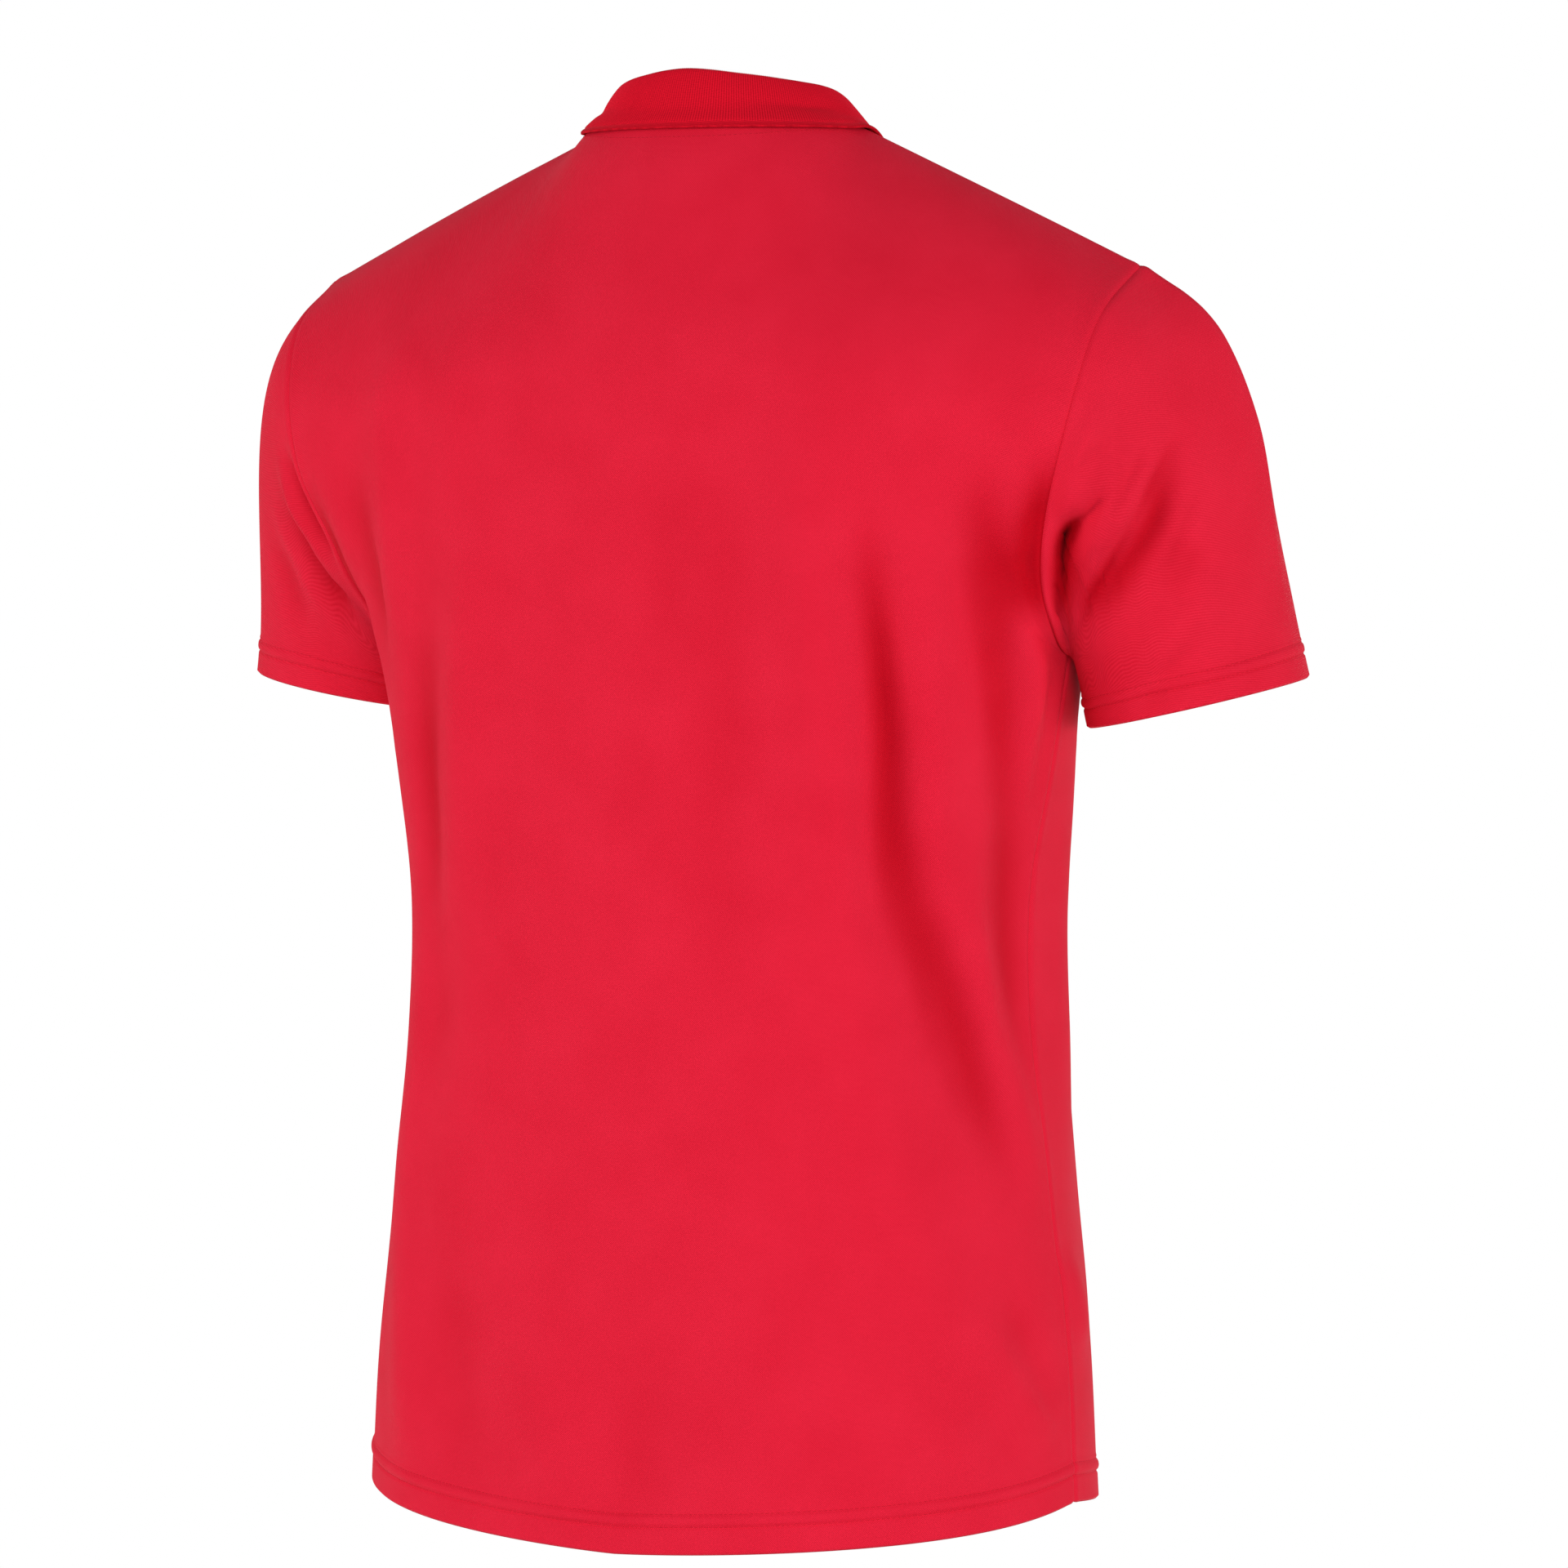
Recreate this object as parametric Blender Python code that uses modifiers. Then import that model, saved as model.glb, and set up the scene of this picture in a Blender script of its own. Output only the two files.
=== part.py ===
"""A short-sleeved knitted polo shirt, filled out as if it were worn, with nobody inside.

Metres, +Z up. +X is the wearer's left, -Y the wearer's front. The origin is midway between the
two points where the shoulder seams meet the neckline, which is where a wearer carries the shirt.

The body is two panels, front and back, laid out on the same grid: "across" runs from the
wearer's right edge (-1) over the middle (0) to the left edge (+1), and "up" runs from the hem (0)
past the armpit to the shoulder seam and neckline (1). A panel's edge is the side seam below the
armpit and the armhole above it. The sleeves start from the armholes and the collar from the
neckline, so every seam is shared, and each piece stops half a seam gap short of it.
"""

import functools
import math
from typing import NamedTuple

import bmesh
import bpy
import numpy as np
from mathutils import Vector
from mathutils.bvhtree import BVHTree

CM = 0.01
MM = 0.001

# Cloth
JERSEY = 1.4 * MM  # the body cloth's wall
HEM_EXTRA = 0.9 * MM  # a turned-up hem is two layers
RIB = 1.7 * MM  # the knitted collar's wall
SEAM_GAP = 0.34 * MM
LAP_GAP = 0.35 * MM  # between a piece and one that lies on it

# Placket and buttons
BAND = 1.6 * MM
BAND_STEPS = 16
PLACKET_HALF_WIDTH = 1.75 * CM
UNDER_HALF_WIDTH = 1.34 * CM
NOTCH_HALF_WIDTH = UNDER_HALF_WIDTH + 0.5 * MM
NOTCH_ROWS_UP = 2
BUTTONS = 3
BUTTON_FIRST_UP = 0.965
BUTTON_STEP_UP = 0.120
BUTTON_RADIUS = 5.5 * MM
BUTTON_THICK = 2.4 * MM
COLLAR_END_DEG = 178.6
FRONT_STEPS = 2

# Grid: how finely the panels, sleeves and collar are cut into quads
NECK_ACROSS = [0.0, 0.045, 0.105, 0.165, 0.225, 0.285, 0.345, 0.40]
SHOULDER_STEPS = 11
UP_STEPS_BODY = 15
HEM_UP = 0.0275  # of a panel, 2 cm of it
CUFF_SHARE = 0.09
UP_STEPS_ARMHOLE = 12
SLEEVE_STEPS = 11
ARMPIT_UP = 0.60
YOKE_UP = 0.80

# Neck and shoulders
NECK_HALF_WIDTH = 7.1 * CM
NECK_HALF_DEPTH = 6.8 * CM
NECK_MIDDLE_Y = -0.5 * CM
NECK_BACK_Z = 0.4 * CM
NECK_FRONT_Z = -8.6 * CM
NECK_DROP_POWER = 3.86
NECK_POINT_DEG = 84.0  # where the shoulder seam meets the neckline, counted from the back
NECK_SHARE = NECK_ACROSS[-1]  # the share of a panel's top edge that is neckline
SECTION_SQUARENESS = 0.035
HEM_CURVE = 1.6
LEFT_HEM_LIFT = 1.3 * CM  # how much the hem rides up towards the left side seam
HEM_LIFT_REACH = 0.12


class Place(NamedTuple):
    """A point of a seam, in centimetres, and how far up the panel it lies."""

    up: float
    x: float
    y: float
    z: float


class Depth(NamedTuple):
    """A point of a panel's middle line, in centimetres."""

    up: float
    y: float
    z: float


SIDE_SEAM = [
    Place(0.00, 19.7, 0.4, -70.9),
    Place(0.10, 19.3, 0.2, -63.6),
    Place(0.22, 18.3, 0.5, -54.9),
    Place(0.34, 17.5, 0.7, -46.1),
    Place(0.44, 17.5, 0.6, -38.8),
    Place(0.52, 18.4, 0.3, -33.0),
    Place(0.60, 19.2, 0.0, -27.4),
]

BACK_ARMHOLE = [
    Place(0.600, 19.2, 0.0, -27.4),
    Place(0.648, 19.7, 3.1, -26.1),
    Place(0.716, 20.6, 6.1, -22.9),
    Place(0.776, 21.6, 7.3, -18.9),
    Place(0.844, 22.6, 7.1, -14.5),
    Place(0.920, 23.2, 5.0, -10.3),
    Place(1.000, 23.4, 0.4, -7.6),
]

FRONT_ARMHOLE = [
    Place(0.600, 19.2, 0.0, -27.4),
    Place(0.648, 19.2, -3.1, -26.1),
    Place(0.716, 19.3, -6.2, -22.9),
    Place(0.776, 19.7, -7.6, -18.9),
    Place(0.844, 20.7, -7.3, -14.5),
    Place(0.920, 22.1, -4.5, -10.4),
    Place(1.000, 23.4, 0.4, -7.6),
]

BACK_MIDDLE = [
    Depth(0.00, 13.7, -73.2),
    Depth(0.15, 13.5, -62.0),
    Depth(0.30, 13.4, -50.3),
    Depth(0.45, 13.4, -38.6),
    Depth(0.60, 13.4, -26.6),
    Depth(0.70, 13.1, -19.4),
    Depth(0.80, 12.1, -12.6),
    Depth(0.90, 9.9, -6.2),
    Depth(1.00, 6.3, 0.4),
]

FRONT_MIDDLE = [
    Depth(0.00, -13.2, -71.6),
    Depth(0.15, -12.9, -60.4),
    Depth(0.30, -12.7, -49.2),
    Depth(0.45, -12.8, -38.1),
    Depth(0.60, -12.9, -27.0),
    Depth(0.70, -12.6, -22.2),
    Depth(0.80, -11.8, -17.5),
    Depth(0.90, -10.3, -12.9),
    Depth(1.00, -7.3, -8.6),
]


def soft_step(t):
    t = np.clip(t, 0.0, 1.0)
    return t * t * (3 - 2 * t)


def hermite(start, start_slope, end, end_slope, t):
    """A cubic from start to end whose slopes are those of one whole step."""
    t = np.asarray(t)[..., None]
    return (
        start * (2 * t**3 - 3 * t**2 + 1)
        + start_slope * (t**3 - 2 * t**2 + t)
        + end * (3 * t**2 - 2 * t**3)
        + end_slope * (t**3 - t**2)
    )


def smooth_rows(knots, rows, where, first_slope=None, last_slope=None):
    """A smooth curve through rows given at knots, at each value of where."""
    knots, where = np.asarray(knots, float), np.asarray(where, float)
    slopes = np.gradient(rows, knots, axis=0)
    if first_slope is not None:
        slopes[0] = first_slope
    if last_slope is not None:
        slopes[-1] = last_slope
    step = np.clip(np.searchsorted(knots, where, side="right") - 1, 0, len(knots) - 2)
    width = (knots[step + 1] - knots[step])[..., None]
    t = (where - knots[step]) / width[..., 0]
    return hermite(rows[step], slopes[step] * width, rows[step + 1], slopes[step + 1] * width, t)


def along(table, up, first_slope=None):
    """A smooth curve through a table's rows, in metres, at each value of up."""
    rows = np.array([row[1:] for row in table]) * CM
    return smooth_rows([row.up for row in table], rows, up, first_slope)


# Seams bend sharply at the armpit and the neck point, and the cloth between them doesn't. So a point
# inside a panel follows a softened seam: the mean of the seam over a stretch that grows inwards.
SOFT_PLACES = (-1.0, -0.5, 0.0, 0.5, 1.0)
SOFT_WEIGHTS = (1 / 9, 2 / 9, 3 / 9, 2 / 9, 1 / 9)
ARMPIT_SOFTNESS = 0.10
NECK_POINT_SOFTNESS = 0.30


def softened(curve, where, stretch):
    return sum(w * curve(where + stretch * k) for w, k in zip(SOFT_WEIGHTS, SOFT_PLACES))


def edge(side, up):
    """A panel's left edge: the side seam, then the armhole. side is 1 at the back and -1 in front."""
    armhole = BACK_ARMHOLE if side > 0 else FRONT_ARMHOLE
    up = np.asarray(up, float)
    level = np.array([0.0, side * 0.72, 0.0])  # at the armpit the armhole runs level, front to back
    above = along(armhole, np.maximum(up, ARMPIT_UP), first_slope=level)
    return np.where((up > ARMPIT_UP)[..., None], above, along(SIDE_SEAM, np.minimum(up, ARMPIT_UP)))


def neckline(turn):
    """A point of the neckline, turn radians round from the middle of the back towards the left."""
    drop = (0.5 - 0.5 * np.cos(turn)) ** NECK_DROP_POWER
    return np.stack(
        [
            NECK_HALF_WIDTH * np.sin(turn),
            NECK_MIDDLE_Y + NECK_HALF_DEPTH * np.cos(turn),
            NECK_BACK_Z + (NECK_FRONT_Z - NECK_BACK_Z) * drop,
        ],
        axis=-1,
    )


def neck_turn(side, across):
    """The angle round the neck at which a panel's column meets the neckline."""
    share = np.clip(np.abs(across) / NECK_SHARE, 0, 1)
    point = math.radians(NECK_POINT_DEG)
    turn = point * share if side > 0 else math.pi - (math.pi - point) * share
    return np.where(across < 0, -turn, turn)


def top_edge(side, across):
    """A panel's top edge: half the neckline, and a shoulder seam on each side of it."""
    turn = neck_turn(side, across)
    neck = neckline(turn)
    tip = np.array(BACK_ARMHOLE[-1][1:]) * CM
    share = np.clip((np.abs(across) - NECK_SHARE) / (1 - NECK_SHARE), 0, 1)[..., None]
    tips = np.where((across < 0)[..., None], tip * [-1, 1, 1], tip)
    return neck * (1 - share) + tips * share


# The way the cloth runs as it reaches the top edge: how far for one yoke's height of it, and how
# steeply, at the neckline's middle and at the shoulder seam
TOP_RUN = {1: (7.0 * CM, 10.0 * CM), -1: (4.6 * CM, 9.0 * CM)}
TOP_RISE = {1: (1.36, -0.06), -1: (1.87, 0.20)}
SHOULDER_FALL = 0.46  # down for each metre outwards
NECK_POINT_LEAN = 48.0  # how far the columns by the neck point turn in towards it, in degrees


def top_slope(side, across):
    """The way the cloth runs as it reaches the top edge."""
    away = np.abs(across)
    share = soft_step(away / (NECK_SHARE + 0.06))
    past = np.maximum(away - NECK_SHARE, 0)
    lean = np.radians(NECK_POINT_LEAN) * np.minimum(away / NECK_SHARE, 1) * np.exp(-((past / 0.16) ** 2))
    run = TOP_RUN[side][0] * (1 - share) + TOP_RUN[side][1] * share
    rise = TOP_RISE[side][0] * (1 - share) + TOP_RISE[side][1] * share
    return np.stack(
        [
            -np.sign(across) * run * np.sin(lean),
            -side * run * np.cos(lean),
            run * (SHOULDER_FALL * np.sin(lean) + rise * np.cos(lean)),
        ],
        axis=-1,
    )


def section(side, across, up):
    """A panel's cross-section: part of an oval that is a little square, from the middle to each edge."""
    inwards = soft_step((1 - np.abs(across)) / 0.2) * np.exp(-(((up - ARMPIT_UP - 0.02) / 0.14) ** 2))
    rim = softened(lambda u: edge(side, np.clip(u, 0, 1)), up, ARMPIT_SOFTNESS * inwards)
    middle = along(BACK_MIDDLE if side > 0 else FRONT_MIDDLE, up)
    most = np.arccos(np.clip(rim[..., 1] / middle[..., 0], -0.2, 0.999))
    turn = np.abs(across) * most

    def square(angle):
        return 1 + SECTION_SQUARENESS * np.sin(2 * angle) ** 2

    width = np.sin(turn) * square(turn) / (np.sin(most) * square(most))
    inset = (1 - np.cos(turn) * square(turn)) / (1 - np.cos(most) * square(most))
    lift = LEFT_HEM_LIFT * np.maximum(across, 0) * np.exp(-((up / HEM_LIFT_REACH) ** 2))
    return np.stack(
        [
            np.sign(across) * rim[..., 0] * width,
            middle[..., 0] + (rim[..., 1] - middle[..., 0]) * inset,
            middle[..., 1] + (rim[..., 2] - middle[..., 1]) * np.abs(across) ** HEM_CURVE + lift,
        ],
        axis=-1,
    )


def smooth_panel(side, across, up):
    """A panel's points before it has any folds."""
    across, up = np.broadcast_arrays(np.asarray(across, float), np.asarray(up, float))
    body = section(side, across, np.minimum(up, YOKE_UP))
    step = 0.004
    yoke = 1 - YOKE_UP

    def rise(where):
        start = section(side, where, np.full_like(where, YOKE_UP))
        below = section(side, where, np.full_like(where, YOKE_UP - step))
        t = np.clip((up - YOKE_UP) / yoke, 0, 1)
        stretch = NECK_POINT_SOFTNESS * (1 - t)
        top = softened(lambda a: top_edge(side, a), where, stretch)
        slope = softened(lambda a: top_slope(side, a), where, stretch)
        return hermite(start, (start - below) / step * yoke, top, slope, t)

    ends = np.where(across < 0, -1.0, 1.0)
    rim = edge(side, np.maximum(up, YOKE_UP))
    rim = rim * np.stack([ends, np.ones_like(ends), np.ones_like(ends)], axis=-1)
    top = rise(across) + (rim - rise(ends)) * (across**8)[..., None]
    return np.where((up > YOKE_UP)[..., None], top, body)


def normals(surface, a, b, step=0.002):
    """Unit normals of surface(a, b), on the side that a cross b gives."""
    da = surface(a + step, b) - surface(a - step, b)
    db = surface(a, b + step) - surface(a, b - step)
    n = np.cross(da, db)
    return n / np.maximum(np.linalg.norm(n, axis=-1, keepdims=True), 1e-12)


class Fold(NamedTuple):
    """A soft ridge (height above 0) or trough along a curve through three places of a piece.

    On a panel a place is (across, up), and on a sleeve it is (turn, down), as its functions take them.
    half_width is in centimetres and height in millimetres.
    """

    start: tuple
    middle: tuple
    end: tuple
    half_width: float
    height: float


BACK_FOLDS = [
    # left of the middle: two ridges off the shoulder blade and the long hollow between them
    Fold((0.45, 0.88), (0.44, 0.77), (0.44, 0.64), 1.6, 3.0),
    Fold((0.37, 0.76), (0.35, 0.56), (0.48, 0.34), 2.0, 5.5),
    Fold((0.60, 0.88), (0.62, 0.74), (0.54, 0.55), 1.5, 4.5),
    Fold((0.48, 0.70), (0.46, 0.47), (0.57, 0.22), 2.0, -6.0),
    Fold((0.47, 0.50), (0.57, 0.31), (0.62, 0.14), 1.9, 4.5),
    Fold((0.76, 0.80), (0.74, 0.69), (0.67, 0.56), 1.4, -4.5),
    Fold((0.80, 0.62), (0.78, 0.42), (0.80, 0.20), 2.0, -4.5),
    # middle: shallow
    Fold((-0.26, 0.80), (-0.21, 0.59), (-0.20, 0.27), 2.4, -3.0),
    Fold((-0.08, 0.76), (-0.09, 0.66), (-0.10, 0.54), 1.6, -2.0),
    # right of the middle: long folds that fan from the blade to the side seam
    Fold((-0.40, 0.82), (-0.39, 0.59), (-0.47, 0.32), 2.0, 5.0),
    Fold((-0.44, 0.46), (-0.55, 0.24), (-0.71, 0.09), 2.2, 4.5),
    Fold((-0.56, 0.78), (-0.52, 0.54), (-0.72, 0.32), 1.6, -7.5),
    Fold((-0.60, 0.52), (-0.74, 0.35), (-0.93, 0.20), 1.7, -7.0),
    Fold((-0.63, 0.74), (-0.61, 0.53), (-0.79, 0.34), 1.4, 6.0),
    Fold((-0.68, 0.48), (-0.85, 0.33), (-0.96, 0.18), 1.4, 5.0),
    Fold((-0.80, 0.84), (-0.82, 0.63), (-0.82, 0.44), 1.5, -7.0),
    Fold((-0.80, 0.60), (-0.90, 0.43), (-0.92, 0.24), 1.5, -6.0),
    # the valley along each armhole
    Fold((-0.99, 0.82), (-0.975, 0.71), (-0.985, 0.60), 1.2, -10.0),
    Fold((0.99, 0.80), (0.975, 0.70), (0.985, 0.60), 1.1, -7.0),
    Fold((-0.95, 0.71), (-0.87, 0.56), (-0.97, 0.44), 1.4, 5.5),
    # by the hem
    Fold((0.60, 0.24), (0.52, 0.12), (0.47, 0.00), 1.8, 4.0),
    Fold((0.40, 0.22), (0.34, 0.11), (0.30, 0.00), 2.2, -3.0),
    Fold((0.19, 0.18), (0.14, 0.08), (0.10, 0.00), 2.4, 3.5),
    Fold((-0.01, 0.16), (-0.04, 0.08), (-0.05, 0.00), 2.4, -2.5),
    Fold((-0.64, 0.16), (-0.78, 0.10), (-0.91, 0.05), 1.6, 3.5),
    Fold((-0.76, 0.18), (-0.83, 0.11), (-0.93, 0.06), 1.3, -3.5),
]
FRONT_FOLDS = [
    # from each armpit in over the chest
    Fold((-0.86, 0.66), (-0.68, 0.56), (-0.56, 0.42), 2.0, -5.5),
    Fold((-0.80, 0.74), (-0.60, 0.66), (-0.44, 0.54), 1.8, 4.0),
    Fold((0.87, 0.66), (0.70, 0.55), (0.59, 0.40), 2.0, -5.5),
    Fold((0.80, 0.75), (0.62, 0.65), (0.48, 0.55), 1.8, 4.0),
    Fold((-0.62, 0.90), (-0.60, 0.80), (-0.58, 0.72), 1.8, 2.5),
    Fold((0.62, 0.89), (0.58, 0.79), (0.56, 0.71), 1.8, 2.5),
    # down the body
    Fold((-0.62, 0.42), (-0.60, 0.22), (-0.63, 0.02), 2.2, 5.5),
    Fold((-0.42, 0.40), (-0.40, 0.20), (-0.44, 0.00), 2.2, -5.5),
    Fold((-0.14, 0.44), (-0.16, 0.22), (-0.20, 0.00), 2.6, 4.0),
    Fold((0.15, 0.36), (0.16, 0.18), (0.20, 0.00), 2.4, -5.0),
    Fold((0.40, 0.42), (0.44, 0.22), (0.46, 0.00), 2.2, 5.5),
    Fold((0.64, 0.46), (0.66, 0.26), (0.72, 0.06), 2.0, -5.5),
    Fold((0.10, 0.63), (0.14, 0.54), (0.22, 0.45), 1.6, 2.5),
    # at the sides
    Fold((-0.84, 0.56), (-0.80, 0.38), (-0.84, 0.20), 2.0, 5.5),
    Fold((0.84, 0.58), (0.82, 0.40), (0.86, 0.22), 2.0, 5.5),
    Fold((-0.96, 0.18), (-0.91, 0.14), (-0.84, 0.10), 1.4, 4.0),
]
LEFT_SLEEVE_FOLDS = [
    # the long hollow down the outside
    Fold((0.58, 0.08), (0.60, 0.42), (0.58, 0.80), 3.0, -6.5),
    # behind, from the armhole down and out
    Fold((0.29, 0.11), (0.21, 0.12), (0.14, 0.20), 1.0, -6.0),
    Fold((0.28, 0.32), (0.20, 0.42), (0.12, 0.58), 0.9, -6.0),
    Fold((0.29, 0.22), (0.21, 0.28), (0.15, 0.40), 0.8, 4.5),
    Fold((0.31, 0.52), (0.28, 0.66), (0.26, 0.82), 1.0, -3.0),
    # in front
    Fold((0.63, 0.40), (0.72, 0.46), (0.84, 0.42), 1.2, -6.0),
    Fold((0.62, 0.56), (0.70, 0.64), (0.80, 0.66), 1.1, 4.5),
    Fold((0.60, 0.70), (0.67, 0.76), (0.74, 0.80), 1.0, -3.0),
]
RIGHT_SLEEVE_FOLDS = [
    # the sleeve's head stands over the armhole seam
    Fold((0.34, 0.12), (0.25, 0.12), (0.17, 0.14), 1.1, 6.0),
    # behind, from the armhole up and out
    Fold((0.42, 0.34), (0.28, 0.52), (0.12, 0.50), 0.9, -7.5),
    Fold((0.39, 0.60), (0.34, 0.65), (0.29, 0.72), 1.1, -4.0),
    Fold((0.33, 0.38), (0.25, 0.38), (0.17, 0.22), 1.0, 4.0),
    Fold((0.23, 0.24), (0.17, 0.25), (0.11, 0.42), 0.95, -7.0),
    Fold((0.40, 0.66), (0.31, 0.76), (0.17, 0.78), 1.3, 4.0),
    Fold((0.36, 0.87), (0.28, 0.92), (0.20, 0.95), 1.0, -3.0),
    Fold((0.50, 0.04), (0.49, 0.34), (0.47, 0.76), 3.0, 5.0),
    # in front
    Fold((0.62, 0.38), (0.73, 0.48), (0.85, 0.44), 1.2, -5.5),
    Fold((0.61, 0.58), (0.71, 0.62), (0.81, 0.70), 1.1, 4.0),
]
FOLDS = {
    "back": BACK_FOLDS,
    "front": FRONT_FOLDS,
    "left sleeve": LEFT_SLEEVE_FOLDS,
    "right sleeve": RIGHT_SLEEVE_FOLDS,
}
UNFOLDED = {
    "back": lambda a, b: smooth_panel(1, a, b),
    "front": lambda a, b: smooth_panel(-1, a, b),
    "left sleeve": lambda a, b: smooth_sleeve(1, a, b),
    "right sleeve": lambda a, b: smooth_sleeve(-1, a, b) * [-1, 1, 1],
}
FOLD_PIECES = 8
FADE = 0.38


@functools.cache
def fold_paths(piece):
    """Each fold of a piece as a line of points on it, before folding."""
    t = np.linspace(0, 1, FOLD_PIECES + 1)[:, None]
    paths = []
    for f in FOLDS[piece]:
        first, middle, last = (np.array(place) for place in (f.start, f.middle, f.end))
        bend = 2 * middle - (first + last) / 2
        places = first * (1 - t) ** 2 + bend * 2 * t * (1 - t) + last * t**2
        paths.append(UNFOLDED[piece](places[:, 0], places[:, 1]))
    return paths


def fold_height(piece, points):
    """How far the folds of a piece move each point out, in metres."""
    flat = points.reshape(-1, 3)
    total = np.zeros(len(flat))
    for f, path in zip(FOLDS[piece], fold_paths(piece)):
        nearest = np.full(len(flat), 1e9)
        along_path = np.zeros(len(flat))
        for k, (a, b) in enumerate(zip(path, path[1:])):
            s = np.clip((flat - a) @ (b - a) / ((b - a) @ (b - a)), 0, 1)
            away = np.linalg.norm(flat - a - s[:, None] * (b - a), axis=1)
            closer = away < nearest
            nearest = np.where(closer, away, nearest)
            along_path = np.where(closer, (k + s) / FOLD_PIECES, along_path)
        across = np.exp(-((nearest / (f.half_width * CM)) ** 2))
        ends = soft_step(along_path / FADE) * soft_step((1 - along_path) / FADE)
        total += f.height * MM * across * ends
    return total.reshape(points.shape[:-1])


def panel(side, across, up):
    """A panel's middle surface, folds and all."""
    base = smooth_panel(side, across, up)
    n = -side * normals(lambda a, b: smooth_panel(side, a, b), across, np.minimum(up, 0.995))
    return base + n * (fold_height("back", base) + fold_height("front", base))[..., None]


# ---------------------------------------------------------------- sleeves

CUFF_CENTRE = np.array([24.5, -4.5, 0.0]) * CM
CUFF_OUT = 5.6 * CM
CUFF_DEEP = 5.8 * CM


class Cuff(NamedTuple):
    """How high a cuff's centre is, in centimetres, and how much it rises for each metre out and back."""

    centre_z: float
    rise_out: float
    rise_back: float


LEFT_CUFF = Cuff(-29.4, 0.20, 0.0)
RIGHT_CUFF = Cuff(-29.85, 0.20, -0.12)
CUFF_WAY = np.array([0.20, -0.12, -1.0])
CUFF_WAY /= np.linalg.norm(CUFF_WAY)


class Reach(NamedTuple):
    """How far the sleeve runs straight on from the armhole and into the cuff, in centimetres."""

    turn: float
    armhole: float
    cuff: float
    outward: float  # the share of the start that goes straight out instead of on from the panel


SLEEVE_REACH = [
    Reach(0.00, 3.0, 4.0, 1.0),
    Reach(0.12, 5.0, 6.0, 0.75),
    Reach(0.25, 9.0, 12.0, 0.25),
    Reach(0.38, 14.0, 16.0, 0.1),
    Reach(0.50, 22.0, 21.0, 0.1),
    Reach(0.62, 15.0, 16.0, 0.1),
    Reach(0.75, 9.0, 12.0, 0.25),
    Reach(0.88, 5.0, 6.0, 0.75),
    Reach(1.00, 3.0, 4.0, 1.0),
]
UNDERARM_WAY = np.array([0.9, -0.1, -0.25])
CROWN_WAY = np.array([0.84, -0.34, -0.50])
FORWARD = np.array([0.0, -0.12, 0.0])


def armhole(hand, turn):
    """An armhole's point, as if it were the left one, and the way the cloth runs on there.

    turn goes 0 underarm, 0.25 back, 0.5 shoulder tip, 0.75 front, 1 underarm again.
    """
    behind = turn <= 0.5
    share = np.where(behind, 2 * turn, 2 - 2 * turn)
    up = ARMPIT_UP + (1 - ARMPIT_UP) * share
    out = hand * np.ones_like(up)
    rim, inside = (
        np.where(behind[..., None], panel(1, out * k, up), panel(-1, out * k, up)) * [hand, 1, 1]
        for k in (1, 0.985)
    )
    run = rim - inside
    return rim, run / np.linalg.norm(run, axis=-1, keepdims=True)


def cuff(hand, turn):
    """The sleeve's lower edge, as if it were the left one."""
    angle = 2 * math.pi * turn
    out, back = -CUFF_OUT * np.cos(angle), CUFF_DEEP * np.sin(angle)
    shape = LEFT_CUFF if hand > 0 else RIGHT_CUFF
    height = shape.centre_z * CM + shape.rise_out * out + shape.rise_back * back
    return CUFF_CENTRE + np.stack([out, back, height], axis=-1)


def smooth_sleeve(hand, turn, down):
    """A sleeve before its folds, as if it were the left one. down is 0 at the armhole, 1 at the cuff."""
    turn, down = np.broadcast_arrays(np.asarray(turn, float) % 1.0, np.asarray(down, float))
    ring, place = np.unique(turn, return_inverse=True)
    rim, run = (points[place.reshape(turn.shape)] for points in armhole(hand, ring))
    table = np.array([r[1:] for r in SLEEVE_REACH])
    knots = [r.turn for r in SLEEVE_REACH]
    start, end, outward = (np.interp(turn, knots, table[:, k]) for k in range(3))
    crown = np.exp(-(((turn - 0.5) / 0.09) ** 2))[..., None]
    way = run * (1 - outward[..., None]) + UNDERARM_WAY * outward[..., None]
    way = way * (1 - crown) + CROWN_WAY * crown
    way = way + FORWARD * np.sin(np.pi * turn[..., None])
    way = way / np.linalg.norm(way, axis=-1, keepdims=True)
    leave, arrive = way * (start * CM)[..., None], CUFF_WAY * (end * CM)[..., None]
    return hermite(rim, leave, cuff(hand, turn), arrive, down)


def sleeve(hand, turn, down):
    """A sleeve's middle surface, folds and all, on its own side."""

    def bare(a, b):
        return smooth_sleeve(hand, a, b) * [hand, 1, 1]

    base = bare(turn, down)
    n = hand * normals(bare, turn, np.clip(down, 0.004, 0.996))
    height = fold_height("left sleeve" if hand > 0 else "right sleeve", base)
    return base + n * (height * soft_step(down / 0.12))[..., None]


# ---------------------------------------------------------------- collar


class Roll(NamedTuple):
    """The collar at one place round the neck, in degrees from the back and centimetres.

    fold_in and fold_up say how far the fold lies inside and above the seam. The leaf's edge is a point.
    """

    turn: float
    fold_in: float
    fold_up: float
    edge_x: float
    edge_y: float
    edge_z: float


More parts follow.
